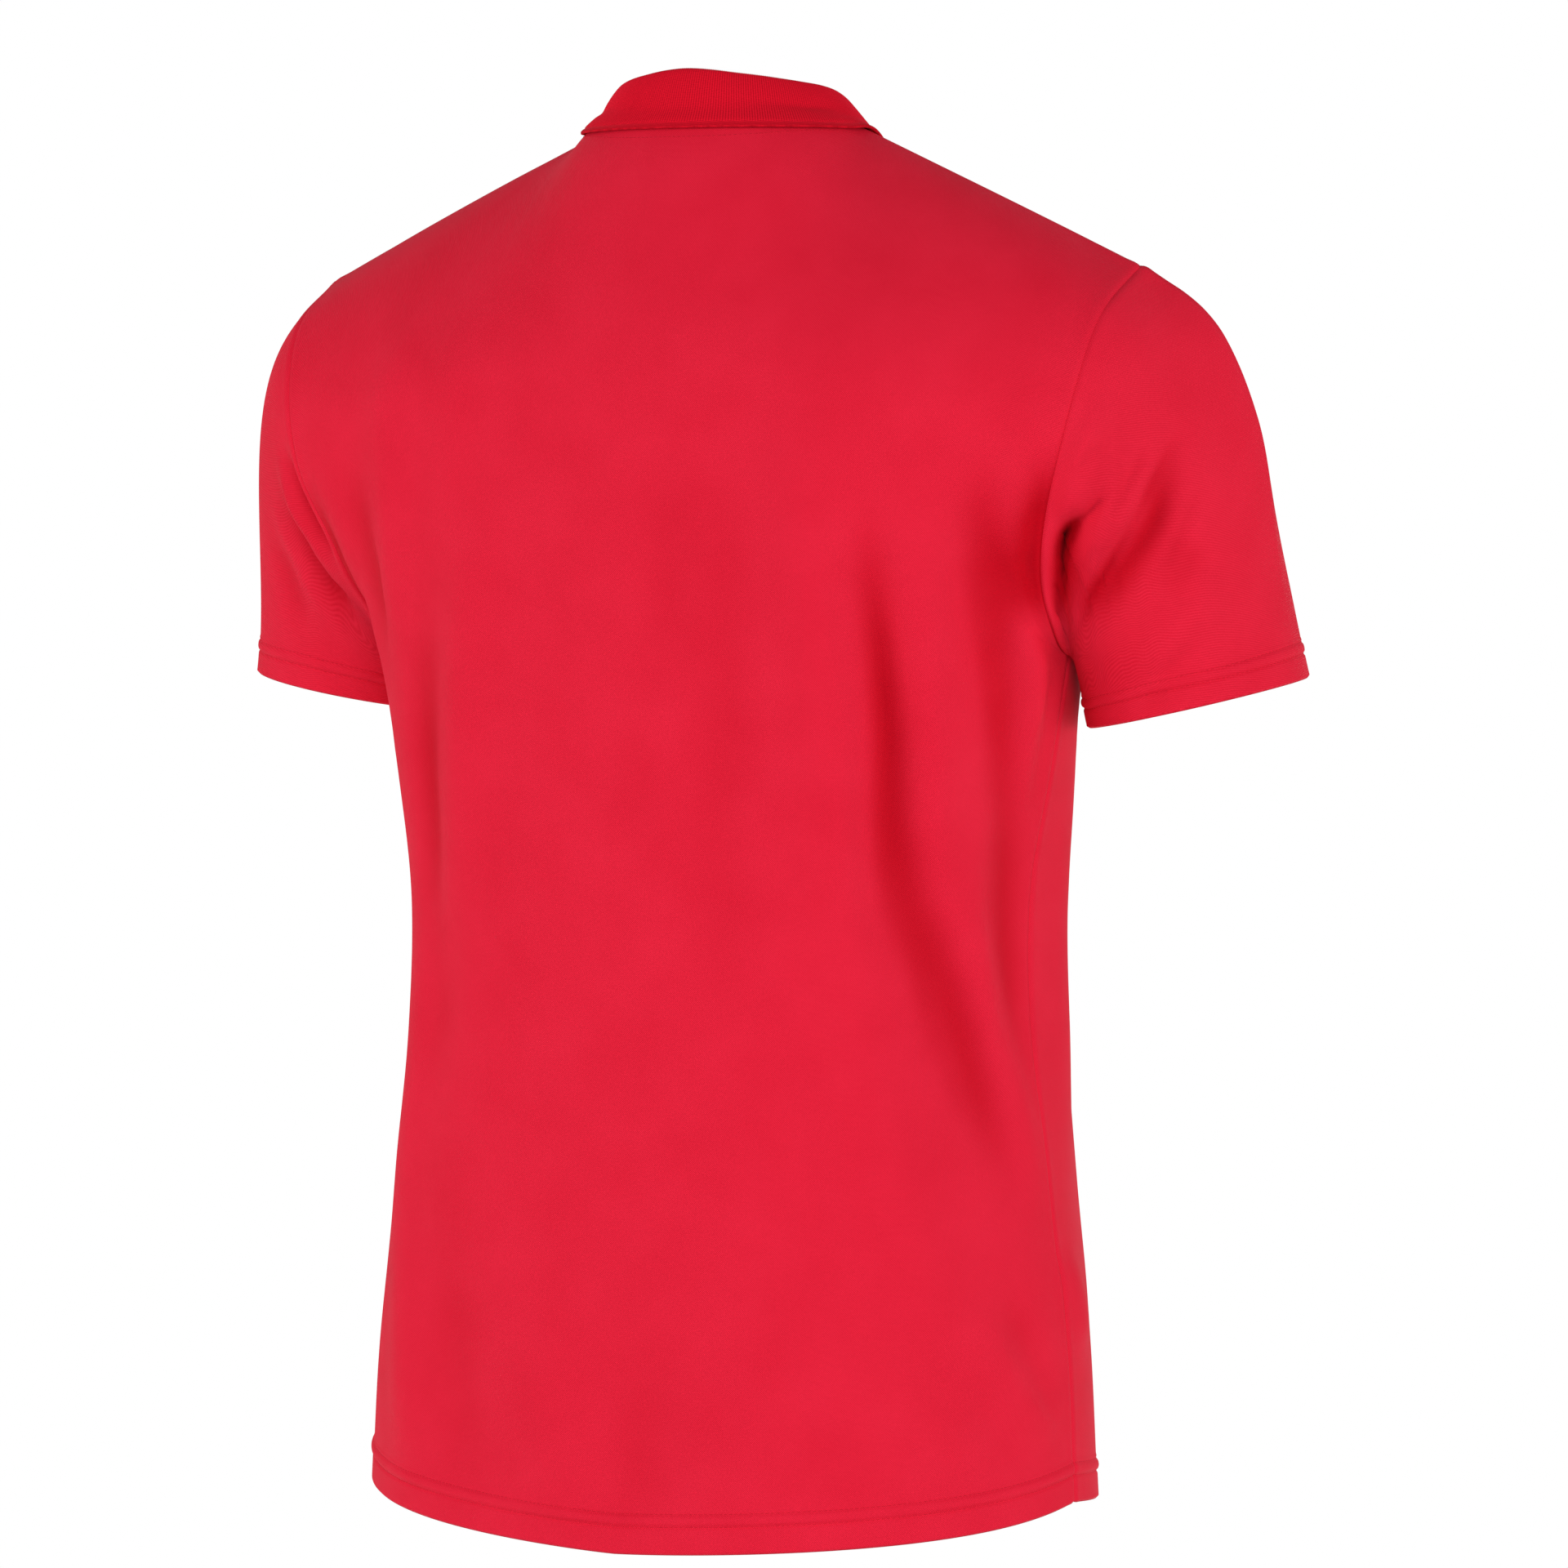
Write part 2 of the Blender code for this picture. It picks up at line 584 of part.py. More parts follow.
COLLAR = [
    Roll(0, 1.25, 2.15, 0.0, 7.00, -0.40),
    Roll(30, 1.30, 1.80, 3.95, 5.98, -0.45),
    Roll(60, 1.40, 1.40, 6.80, 3.35, -0.60),
    Roll(84, 1.45, 1.38, 8.10, 0.15, -0.48),
    Roll(105, 1.35, 1.50, 8.10, -3.2, -2.1),
    Roll(125, 1.15, 1.70, 7.7, -5.7, -4.7),
    Roll(145, 0.95, 1.70, 6.8, -7.8, -7.9),
    Roll(160, 0.75, 1.70, 5.7, -9.0, -10.6),
    Roll(171, 0.60, 1.70, 4.8, -9.7, -12.1),
    Roll(180, 0.50, 1.70, 4.0, -10.1, -12.8),
]
FOLD_RADIUS = 0.26 * CM  # of the roll, to the middle of the wall
STAND_ROWS, ROLL_ROWS, LEAF_ROWS = 3, 3, 6
LEAF_CLEAR = 1.1 * MM  # of the panels


def collar_grid(turn):
    """The collar's middle surface, from the neck seam up over the fold and down to the leaf's edge."""
    table = np.array([r[1:] for r in COLLAR]) * CM
    knots = [r.turn for r in COLLAR]
    level = np.array([0.0, 0.0, COLLAR[1].edge_x / COLLAR[1].turn * CM, 0.0, 0.0])
    fold_in, fold_up, x, y, z = smooth_rows(knots, table, np.degrees(np.abs(turn)), first_slope=level).T
    seam = neckline(turn)
    out = np.stack([np.sin(turn), np.cos(turn), np.zeros_like(turn)], axis=-1)
    rise = np.array([0.0, 0.0, 1.0])
    edge_point = np.stack([np.sign(turn) * x, y, z], axis=-1)

    lean = unit(-out * fold_in[:, None] + rise * fold_up[:, None])
    away = unit(out - lean * np.sum(out * lean, axis=-1, keepdims=True))
    height = np.hypot(fold_in, fold_up)[:, None]
    middle = seam + lean * (height - FOLD_RADIUS) + away * FOLD_RADIUS
    stand = [seam + lean * (height - FOLD_RADIUS) * t for t in np.linspace(0, 1, STAND_ROWS + 1)]
    roll = [
        middle - away * FOLD_RADIUS * math.cos(t) + lean * FOLD_RADIUS * math.sin(t)
        for t in np.linspace(0, math.pi, ROLL_ROWS + 2)[1:]
    ]
    start = roll[-1]
    length = np.linalg.norm(edge_point - start, axis=-1, keepdims=True)
    finish = unit(edge_point - start + out * 0.2 * length)
    leaf = [
        hermite(start, -lean * length, edge_point, finish * length, np.full(len(turn), t))
        for t in np.linspace(0, 1, LEAF_ROWS + 1)[1:]
    ]
    return np.array([*stand, *roll, *leaf])


# ---------------------------------------------------------------- cloth walls


def unit(v):
    return v / np.maximum(np.linalg.norm(v, axis=-1, keepdims=True), 1e-12)


def grid_normals(points, outside, closed=False):
    """A grid's vertex normals, turned to the side that outside (a point function) gives."""
    if closed:
        wide = np.concatenate([points[:, -1:], points, points[:, :1]], axis=1)
        da = wide[:, 2:] - wide[:, :-2]
    else:
        da = np.gradient(points, axis=1)
    n = unit(np.cross(da, np.gradient(points, axis=0)))
    return n * outside


def split_quads(points, closed=False, missing=()):
    """A grid's triangles, each quad split along its shorter diagonal. missing holds cut-away quads."""
    rows, columns = points.shape[:2]
    flat = points.reshape(-1, 3)
    found = []
    for r in range(rows - 1):
        for c in range(columns if closed else columns - 1):
            if (r, c) in missing:
                continue
            a, b = r * columns + c, r * columns + (c + 1) % columns
            d, e = a + columns, b + columns
            if np.linalg.norm(flat[a] - flat[e]) < np.linalg.norm(flat[b] - flat[d]):
                found += [(a, b, e), (a, e, d)]
            else:
                found += [(a, b, d), (b, e, d)]
    return found


def wall(name, middle, n, thickness, material, closed=False, missing=()):
    """A closed cloth wall on each side of a grid of middle points, along its normals.

    Each quad of a rim is split from outside below to inside above, so that two pieces match at
    their seam.
    """
    half = n * np.broadcast_to(thickness, middle.shape[:2])[..., None] / 2
    points = np.concatenate([(middle + half).reshape(-1, 3), (middle - half).reshape(-1, 3)])
    far = len(points) // 2
    outer = split_quads(middle, closed, missing)
    sides = {(t[k], t[(k + 1) % 3]) for t in outer for k in range(3)}
    rims = []
    for a, b in sorted(sides):
        if (b, a) not in sides:
            rising = points[a][2] + points[a + far][2] < points[b][2] + points[b + far][2]
            if rising:
                rims += [(b, a, b + far), (a, a + far, b + far)]
            else:
                rims += [(b, a, a + far), (b, a + far, b + far)]
    inner = [tuple(v + far for v in t[::-1]) for t in outer]
    used = sorted({v for t in outer + inner for v in t})
    place = {v: k for k, v in enumerate(used)}
    mesh = bpy.data.meshes.new(name)
    faces = [tuple(place[v] for v in f) for f in outer + inner + rims]
    mesh.from_pydata([tuple(points[v]) for v in used], [], faces)
    mesh.materials.append(material)
    made = bpy.data.objects.new(name, mesh)
    shirt.objects.link(made)
    build = bmesh.new()
    build.from_mesh(mesh)
    bmesh.ops.recalc_face_normals(build, faces=build.faces)
    build.to_mesh(mesh)
    build.free()
    return made


def pull_in(middle, n, rows, columns, inward, run=None):
    """How far to move the grid points of one seam into their piece: half a gap, square to the seam.

    inward is the step in rows and columns to the next point inside, and run the seam's direction.
    """
    rows, columns = np.broadcast_arrays(rows, columns)
    seam = middle[rows, columns]
    square = unit(np.cross(n[rows, columns], np.gradient(seam, axis=0) if run is None else run))
    inside = middle[rows + inward[0], columns + inward[1]] - seam
    towards = np.sign(np.sum(square * inside, axis=-1, keepdims=True))
    return rows, columns, square * towards * SEAM_GAP / 2


def plain_material(name, colour, roughness):
    made = bpy.data.materials.new(name)
    made.use_nodes = True
    shader = made.node_tree.nodes["Principled BSDF"]
    shader.inputs["Base Color"].default_value = (*colour, 1.0)
    shader.inputs["Roughness"].default_value = roughness
    return made


for old in list(bpy.data.objects):
    bpy.data.objects.remove(old)
shirt = bpy.data.collections.new("polo_shirt")
bpy.context.scene.collection.children.link(shirt)

red_jersey = plain_material("red_jersey", (0.62, 0.008, 0.028), 0.6)
red_rib = plain_material("red_rib", (0.53, 0.006, 0.022), 0.75)
red_button = plain_material("red_button", (0.45, 0.010, 0.025), 0.35)

half = NECK_ACROSS + list(np.linspace(NECK_SHARE, 1, SHOULDER_STEPS + 1)[1:])
columns = np.array([-a for a in half[:0:-1]] + half)
rows_up = np.concatenate(
    [
        [0, HEM_UP, HEM_UP + 0.004],
        np.linspace(HEM_UP, ARMPIT_UP, UP_STEPS_BODY)[1:],
        np.linspace(ARMPIT_UP, 1, UP_STEPS_ARMHOLE + 1)[1:],
    ]
)
TOP = len(rows_up) - 1
UNDERARM = TOP - UP_STEPS_ARMHOLE
MIDDLE, LAST = len(half) - 1, len(columns) - 1
NECK_COLUMNS = range(MIDDLE - len(NECK_ACROSS) + 1, MIDDLE + len(NECK_ACROSS))
turns = np.linspace(0, 1, 2 * UP_STEPS_ARMHOLE + 1)[:-1]
downs = np.concatenate([np.linspace(0, 1 - CUFF_SHARE, SLEEVE_STEPS), [1 - CUFF_SHARE + 0.008, 1]])


def across_at(side, metres, up):
    """How far across a panel a point lies that is so many metres from its middle line."""
    step = 0.02
    away = panel(side, np.full_like(up, step), up) - panel(side, np.zeros_like(up), up)
    return metres * step / np.linalg.norm(away, axis=-1)


across_grid, up_grid = np.meshgrid(columns, rows_up)
front_across = across_grid.copy()
front_across[:, MIDDLE + 1] = across_at(-1, NOTCH_HALF_WIDTH, np.minimum(rows_up, 0.999))
front_across[:, MIDDLE - 1] = -front_across[:, MIDDLE + 1]
grids = {1: panel(1, across_grid, up_grid), -1: panel(-1, front_across, up_grid)}
sleeves = {hand: sleeve(hand, *np.meshgrid(turns, downs)) for hand in (1, -1)}
grid_n = {side: grid_normals(grids[side], -side) for side in (1, -1)}
sleeve_n = {hand: grid_normals(sleeves[hand], hand, closed=True) for hand in (1, -1)}

# The collar's columns run from the right front edge round the back to the left front edge. Each one
# but the first and last few starts from a point of a panel's neckline.
neck_seam = [(-1, c) for c in NECK_COLUMNS if c < MIDDLE][::-1] + [(1, c) for c in NECK_COLUMNS][1:-1]
neck_seam += [(-1, c) for c in NECK_COLUMNS if c > MIDDLE][::-1]
across_of = {1: across_grid, -1: front_across}
collar_turns = [float(neck_turn(side, across_of[side][TOP, c])) for side, c in neck_seam]
front_turns = list(np.linspace(collar_turns[-1], math.radians(COLLAR_END_DEG), FRONT_STEPS + 1)[1:])
collar_turns = [-t for t in front_turns[::-1]] + collar_turns + front_turns
neck_seam = [None] * FRONT_STEPS + neck_seam + [None] * FRONT_STEPS


def outside_tree():
    """The panels' outer faces and the placket's, for laying the collar's leaf on."""
    points, faces = [], []

    def add(grid, flip):
        first = len(points)
        points.extend(tuple(v) for v in grid.reshape(-1, 3))
        for t in split_quads(grid):
            faces.append(tuple(first + v for v in (t[::-1] if flip else t)))

    for side, grid in grids.items():
        add(grid + grid_n[side] * JERSEY / 2, side > 0)
    across, up = np.meshgrid([-0.075, -0.03, 0.03, 0.075], np.linspace(0.7, 1, 9))
    n = normals(lambda a, b: panel(-1, a, b), across, np.minimum(up, 0.99))
    add(panel(-1, across, up) + n * (JERSEY / 2 + LAP_GAP + BAND), False)
    return BVHTree.FromPolygons(points, faces)


def lay_clear(grid, first_row, clearance):
    """Push a grid's points out, from first_row on, until they clear the panels."""
    tree = outside_tree()
    for r in range(first_row, grid.shape[0]):
        for c in range(grid.shape[1]):
            near, n, _, _ = tree.find_nearest(Vector(grid[r, c]))
            short = clearance - (Vector(grid[r, c]) - near).dot(n)
            if short > 0:
                grid[r, c] += np.array(n) * short


def share_normals(*places):
    """Give the points where several pieces meet one common wall direction.

    A place is (normals, row, column).
    """
    together = unit(sum(n[r, c] for n, r, c in places))
    for n, r, c in places:
        n[r, c] = together


def sleeve_column(side, r):
    """The sleeve's column that meets a panel's row."""
    return (r - UNDERARM) if side > 0 else (UNDERARM - r) % len(turns)


collar = collar_grid(np.array(collar_turns))
lay_clear(collar, STAND_ROWS + ROLL_ROWS + 2, RIB / 2 + LEAF_CLEAR)
collar_n = grid_normals(collar, -1)
own_n = {side: n.copy() for side, n in grid_n.items()}
own_sleeve_n = {hand: n.copy() for hand, n in sleeve_n.items()}
own_collar_n = collar_n.copy()
for hand, c in ((1, LAST), (-1, 0)):
    for r in range(UNDERARM):
        share_normals((grid_n[1], r, c), (grid_n[-1], r, c))
    for r in (UNDERARM, TOP):
        share_normals((grid_n[1], r, c), (grid_n[-1], r, c), (sleeve_n[hand], 0, sleeve_column(1, r)))
    for r in range(UNDERARM + 1, TOP):
        for side in (1, -1):
            share_normals((grid_n[side], r, c), (sleeve_n[hand], 0, sleeve_column(side, r)))
for c in range(1, LAST):
    if c not in NECK_COLUMNS:
        share_normals((grid_n[1], TOP, c), (grid_n[-1], TOP, c))
for j, meets in enumerate(neck_seam):
    if meets:
        side, c = meets
        both = (-side,) if c in (NECK_COLUMNS[0], NECK_COLUMNS[-1]) else ()
        share_normals(*[(grid_n[k], TOP, c) for k in (side, *both)], (collar_n, 0, j))

ring_runs = {hand: np.roll(g[0], -1, axis=0) - np.roll(g[0], 1, axis=0) for hand, g in sleeves.items()}
moves = []
for side, grid in grids.items():
    n = grid_n[side]
    shoulders = (np.arange(0, NECK_COLUMNS[0] + 1), np.arange(NECK_COLUMNS[-1], LAST + 1))
    for c, step in ((0, 1), (LAST, -1)):
        moves.append((grid, pull_in(grid, n, np.arange(UNDERARM + 1), c, (0, step))))
        rows = np.arange(UNDERARM, TOP + 1)
        run = ring_runs[-step][[sleeve_column(side, r) for r in rows]]
        moves.append((grid, pull_in(grid, n, rows, c, (0, step), run)))
    for across in (*shoulders, np.array(NECK_COLUMNS)):
        moves.append((grid, pull_in(grid, n, TOP, across, (-1, 0))))
for hand, grid in sleeves.items():
    ring = np.arange(len(turns))
    moves.append((grid, pull_in(grid, sleeve_n[hand], 0, ring, (1, 0), ring_runs[hand])))
moves.append((collar, pull_in(collar, collar_n, 0, np.arange(len(collar_turns)), (1, 0))))
for grid, (r, c, move) in moves:
    np.add.at(grid, (r, c), move)


def mitred(thickness, n, own):
    """Keep a wall's thickness where its edge leans towards the next piece."""
    return thickness / np.clip(np.sum(n * own, axis=-1), 0.6, 1.0)


# The placket: a notch cut down the front from the neckline, with two bands in it, left over right.
NOTCH_ROW = UNDERARM + NOTCH_ROWS_UP
notch = {(r, c) for r in range(NOTCH_ROW, TOP) for c in (MIDDLE - 1, MIDDLE)}
for side, name, missing in ((1, "back", ()), (-1, "front", notch)):
    thickness = mitred(JERSEY, grid_n[side], own_n[side])
    thickness[:2] += HEM_EXTRA
    wall(name, grids[side], grid_n[side], thickness, red_jersey, missing=missing)
for hand, name in ((1, "sleeve_left"), (-1, "sleeve_right")):
    thickness = mitred(JERSEY, sleeve_n[hand], own_sleeve_n[hand])
    thickness[-2:] += HEM_EXTRA
    wall(name, sleeves[hand], sleeve_n[hand], thickness, red_jersey, closed=True)
wall("collar", collar, collar_n, mitred(RIB, collar_n, own_collar_n), red_rib)


def band(name, half_width, first_up, last_up, out):
    """A strip of the placket, laid along the front panel's middle and moved out from it."""
    up = np.linspace(first_up, last_up, BAND_STEPS + 1)
    offsets = np.linspace(-1, 1, 5)
    a = offsets[None, :] * across_at(-1, half_width, up)[:, None]
    u = np.repeat(up[:, None], len(offsets), axis=1)
    points = panel(-1, a, u)
    n = normals(lambda a, b: panel(-1, a, b), a, np.minimum(u, 0.99))
    return wall(name, points + n * out, n, BAND, red_jersey)


top_out = JERSEY / 2 + LAP_GAP + BAND / 2
notch_up = rows_up[NOTCH_ROW]
band("placket_top", PLACKET_HALF_WIDTH, notch_up - 0.008, 0.990, top_out)
band("placket_under", UNDER_HALF_WIDTH, notch_up + 0.006, 0.990, top_out - BAND - LAP_GAP)

for k in range(BUTTONS):
    up = np.array(BUTTON_FIRST_UP - k * BUTTON_STEP_UP)
    spot = panel(-1, np.array(0.0), up)
    n = Vector(normals(lambda a, b: panel(-1, a, b), np.array(0.0), up))
    bpy.ops.mesh.primitive_cylinder_add(vertices=32, radius=BUTTON_RADIUS, depth=BUTTON_THICK)
    button = bpy.context.active_object
    button.name = button.data.name = f"button_{k + 1}"
    button.location = Vector(spot) + n * (top_out + BAND / 2 + LAP_GAP + BUTTON_THICK / 2)
    button.rotation_euler = n.to_track_quat("Z", "Y").to_euler()
    button.data.materials.append(red_button)
    edge_round = button.modifiers.new("edge", "BEVEL")
    edge_round.width = 0.5 * MM
    edge_round.segments = 2
    for owner in list(button.users_collection):
        owner.objects.unlink(button)
    shirt.objects.link(button)
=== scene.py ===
# %% [markdown]
# # A polo shirt, worn by nobody
# A knitted shirt keeps the shape of the body that fills it, even in a picture that leaves the body out.
# The rigid model that this notebook dresses has that shape already: panels, sleeves, collar, placket and
# buttons, each a plain wall. Here every piece of cloth is drawn again on the same form, on a far finer
# grid, with its hems, seams, small creases, ribs and stitches.

# %% The frame
import functools
import math
from typing import NamedTuple

import bmesh
import bpy
import numpy as np
from mathutils import Matrix, Vector
from mathutils.bvhtree import BVHTree


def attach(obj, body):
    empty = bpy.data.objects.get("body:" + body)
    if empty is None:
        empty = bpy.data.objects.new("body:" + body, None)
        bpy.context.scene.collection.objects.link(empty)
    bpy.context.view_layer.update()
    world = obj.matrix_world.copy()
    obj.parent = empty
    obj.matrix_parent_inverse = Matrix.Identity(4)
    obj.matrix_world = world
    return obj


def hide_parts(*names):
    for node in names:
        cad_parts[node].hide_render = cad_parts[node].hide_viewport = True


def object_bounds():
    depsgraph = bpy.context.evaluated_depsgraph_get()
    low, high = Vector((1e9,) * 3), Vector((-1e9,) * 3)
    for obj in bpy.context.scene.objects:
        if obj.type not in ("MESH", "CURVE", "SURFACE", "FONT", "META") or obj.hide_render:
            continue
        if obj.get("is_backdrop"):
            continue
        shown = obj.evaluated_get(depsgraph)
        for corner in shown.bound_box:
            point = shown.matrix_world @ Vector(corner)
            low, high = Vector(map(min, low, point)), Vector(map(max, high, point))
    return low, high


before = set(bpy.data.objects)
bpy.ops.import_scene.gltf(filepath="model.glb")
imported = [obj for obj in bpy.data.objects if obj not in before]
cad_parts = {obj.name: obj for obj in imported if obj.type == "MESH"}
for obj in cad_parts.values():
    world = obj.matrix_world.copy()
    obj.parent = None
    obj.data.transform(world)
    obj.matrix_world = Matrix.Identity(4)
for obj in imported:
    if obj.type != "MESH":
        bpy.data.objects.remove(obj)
cad_low, cad_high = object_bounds()
print("solids:", ", ".join(sorted(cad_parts)))

# %% [markdown]
# ## The cut
# A shirt is sewn from flat panels, and its worn shape is set by where the seams run on the body. So
# the form starts from the seams: a table of places down the side seam, round each armhole and down the
# middle of the front and the back. Drawing curves through a few measured places is easier to adjust than
# modelling a mesh by eye, and every piece that shares a seam can read the same curve.

# %% Sizes
CM = 0.01
MM = 0.001
# Cloth
JERSEY = 1.4 * MM  # the body cloth's wall
RIB = 1.7 * MM  # the knitted collar's wall
BAND = 1.6 * MM  # a placket band's wall
HEM_EXTRA = 0.9 * MM  # a turned-up hem is two layers
HEM_DEPTH = 2.0 * CM
LAP_GAP = 0.35 * MM  # between a piece and one that lies on it
# Placket and buttons
PLACKET_HALF_WIDTH = 1.75 * CM
UNDER_HALF_WIDTH = 1.34 * CM
NOTCH_HALF_WIDTH = UNDER_HALF_WIDTH + 0.5 * MM
BUTTONS = 3
BUTTON_FIRST_UP = 0.965
BUTTON_STEP_UP = 0.120
BUTTON_THICK = 2.4 * MM
# Heights on a panel, from 0 at its hem to 1 at its top
ARMPIT_UP = 0.60
YOKE_UP = 0.80
ARMHOLE_ROWS, NOTCH_ROW = 12, 2  # the solids' rows of quads above the armpit, and the notch's first
PLACKET_UP = ARMPIT_UP + NOTCH_ROW * (1 - ARMPIT_UP) / ARMHOLE_ROWS  # where the placket's notch ends
# Neck, shoulders and hem
NECK_HALF_WIDTH = 7.1 * CM
NECK_HALF_DEPTH = 6.8 * CM
NECK_MIDDLE_Y = -0.5 * CM
NECK_BACK_Z = 0.4 * CM
NECK_FRONT_Z = -8.6 * CM
NECK_DROP_POWER = 3.86
NECK_POINT_DEG = 84.0  # where the shoulder seam meets the neckline, counted from the back
NECK_SHARE = 0.40  # the share of a panel's top edge that is neckline
COLLAR_END_DEG = 178.6  # where the collar stops beside the placket's middle, counted from the back
SECTION_SQUARENESS = 0.035
HEM_CURVE = 1.6  # above 1 the hem stays low near the middle and climbs towards the side seams
LEFT_HEM_LIFT = 1.3 * CM  # how much the hem rides up towards the left side seam
HEM_LIFT_REACH = 0.12
print(f"neckline {2 * NECK_HALF_WIDTH / CM:.1f} cm wide, hems {HEM_DEPTH / CM:.1f} cm deep")

# %% Seam tables
class Place(NamedTuple):
    """A point of a seam, in centimetres, and how far up the panel it lies."""

    up: float
    x: float
    y: float
    z: float


class Depth(NamedTuple):
    """A point of a panel's middle line, in centimetres."""

    up: float
    y: float
    z: float


SIDE_SEAM = [
    Place(0.00, 19.7, 0.4, -70.9),
    Place(0.10, 19.3, 0.2, -63.6),
    Place(0.22, 18.3, 0.5, -54.9),
    Place(0.34, 17.5, 0.7, -46.1),
    Place(0.44, 17.5, 0.6, -38.8),
    Place(0.52, 18.4, 0.3, -33.0),
    Place(0.60, 19.2, 0.0, -27.4),
]
BACK_ARMHOLE = [
    Place(0.600, 19.2, 0.0, -27.4),
    Place(0.648, 19.7, 3.1, -26.1),
    Place(0.716, 20.6, 6.1, -22.9),
    Place(0.776, 21.6, 7.3, -18.9),
    Place(0.844, 22.6, 7.1, -14.5),
    Place(0.920, 23.2, 5.0, -10.3),
    Place(1.000, 23.4, 0.4, -7.6),
]
FRONT_ARMHOLE = [
    Place(0.600, 19.2, 0.0, -27.4),
    Place(0.648, 19.2, -3.1, -26.1),
    Place(0.716, 19.3, -6.2, -22.9),
    Place(0.776, 19.7, -7.6, -18.9),
    Place(0.844, 20.7, -7.3, -14.5),
    Place(0.920, 22.1, -4.5, -10.4),
    Place(1.000, 23.4, 0.4, -7.6),
]
BACK_MIDDLE = [
    Depth(0.00, 13.7, -73.2),
    Depth(0.15, 13.5, -62.0),
    Depth(0.30, 13.4, -50.3),
    Depth(0.45, 13.4, -38.6),
    Depth(0.60, 13.4, -26.6),
    Depth(0.70, 13.1, -19.4),
    Depth(0.80, 12.1, -12.6),
    Depth(0.90, 9.9, -6.2),
    Depth(1.00, 6.3, 0.4),
]
FRONT_MIDDLE = [
    Depth(0.00, -13.2, -71.6),
    Depth(0.15, -12.9, -60.4),
    Depth(0.30, -12.7, -49.2),
    Depth(0.45, -12.8, -38.1),
    Depth(0.60, -12.9, -27.0),
    Depth(0.70, -12.6, -22.2),
    Depth(0.80, -11.8, -17.5),
    Depth(0.90, -10.3, -12.9),
    Depth(1.00, -7.3, -8.6),
]
print(f"side seam {len(SIDE_SEAM)} places, armholes {len(BACK_ARMHOLE)} and {len(FRONT_ARMHOLE)}")

# %% [markdown]
# ## Curves through the tables
# A cubic between each two rows, with slopes taken from their neighbours, is smooth enough for cloth.
# Seams bend sharply at the armpit and at the neck point while the cloth beside them doesn't, so a point
# inside a panel follows a softened seam: the mean of the seam over a stretch that grows inwards.

# %% Curves
def soft_step(t):
    t = np.clip(t, 0.0, 1.0)
    return t * t * (3 - 2 * t)


def bell(distance, width):
    return np.exp(-((distance / width) ** 2))


def joined(*parts):
    return np.stack(parts, axis=-1)


def unit(v):
    return v / np.maximum(np.linalg.norm(v, axis=-1, keepdims=True), 1e-12)


def hermite(start, start_slope, end, end_slope, t):
    """A cubic from start to end whose slopes are those of one whole step."""
    t = np.asarray(t)[..., None]
    return (
        start * (2 * t**3 - 3 * t**2 + 1)
        + start_slope * (t**3 - 2 * t**2 + t)
        + end * (3 * t**2 - 2 * t**3)
        + end_slope * (t**3 - t**2)
    )


def smooth_rows(knots, rows, where, first_slope=None):
    """A smooth curve through rows given at knots, at each value of where."""
    knots, where = np.asarray(knots, float), np.asarray(where, float)
    slopes = np.gradient(rows, knots, axis=0)
    if first_slope is not None:
        slopes[0] = first_slope
    step = np.clip(np.searchsorted(knots, where, side="right") - 1, 0, len(knots) - 2)
    width = (knots[step + 1] - knots[step])[..., None]
    t = (where - knots[step]) / width[..., 0]
    return hermite(rows[step], slopes[step] * width, rows[step + 1], slopes[step + 1] * width, t)


def along(table, up, first_slope=None):
    """A smooth curve through a table's rows, in metres, at each value of up."""
    rows = np.array([row[1:] for row in table]) * CM
    return smooth_rows([row.up for row in table], rows, up, first_slope)


# Where a softened seam is read along its stretch, and how much each reading counts
SOFT_PLACES = (-1.0, -0.5, 0.0, 0.5, 1.0)
SOFT_WEIGHTS = (1 / 9, 2 / 9, 3 / 9, 2 / 9, 1 / 9)
ARMPIT_SOFTNESS = 0.10
NECK_POINT_SOFTNESS = 0.30
ARMPIT_RUN = 0.72  # at the armpit the armhole runs level: how far back or forward for each whole of up


def softened(curve, where, stretch):
    return sum(w * curve(where + stretch * k) for w, k in zip(SOFT_WEIGHTS, SOFT_PLACES))


def edge(side, up):
    """A panel's left edge: the side seam, then the armhole. side is 1 at the back and -1 in front."""
    armhole = BACK_ARMHOLE if side > 0 else FRONT_ARMHOLE
    up = np.asarray(up, float)
    level = np.array([0.0, side * ARMPIT_RUN, 0.0])
    above = along(armhole, np.maximum(up, ARMPIT_UP), first_slope=level)
    return np.where((up > ARMPIT_UP)[..., None], above, along(SIDE_SEAM, np.minimum(up, ARMPIT_UP)))


# %% Neckline and shoulder seams
def neckline(turn):
    """A point of the neckline, turn radians round from the middle of the back towards the left."""
    drop = (0.5 - 0.5 * np.cos(turn)) ** NECK_DROP_POWER
    return joined(
        NECK_HALF_WIDTH * np.sin(turn),
        NECK_MIDDLE_Y + NECK_HALF_DEPTH * np.cos(turn),
        NECK_BACK_Z + (NECK_FRONT_Z - NECK_BACK_Z) * drop,
    )


def neck_turn(side, across):
    """The angle round the neck at which a panel's column meets the neckline."""
    share = np.clip(np.abs(across) / NECK_SHARE, 0, 1)
    point = math.radians(NECK_POINT_DEG)
    turn = point * share if side > 0 else math.pi - (math.pi - point) * share
    return np.where(across < 0, -turn, turn)


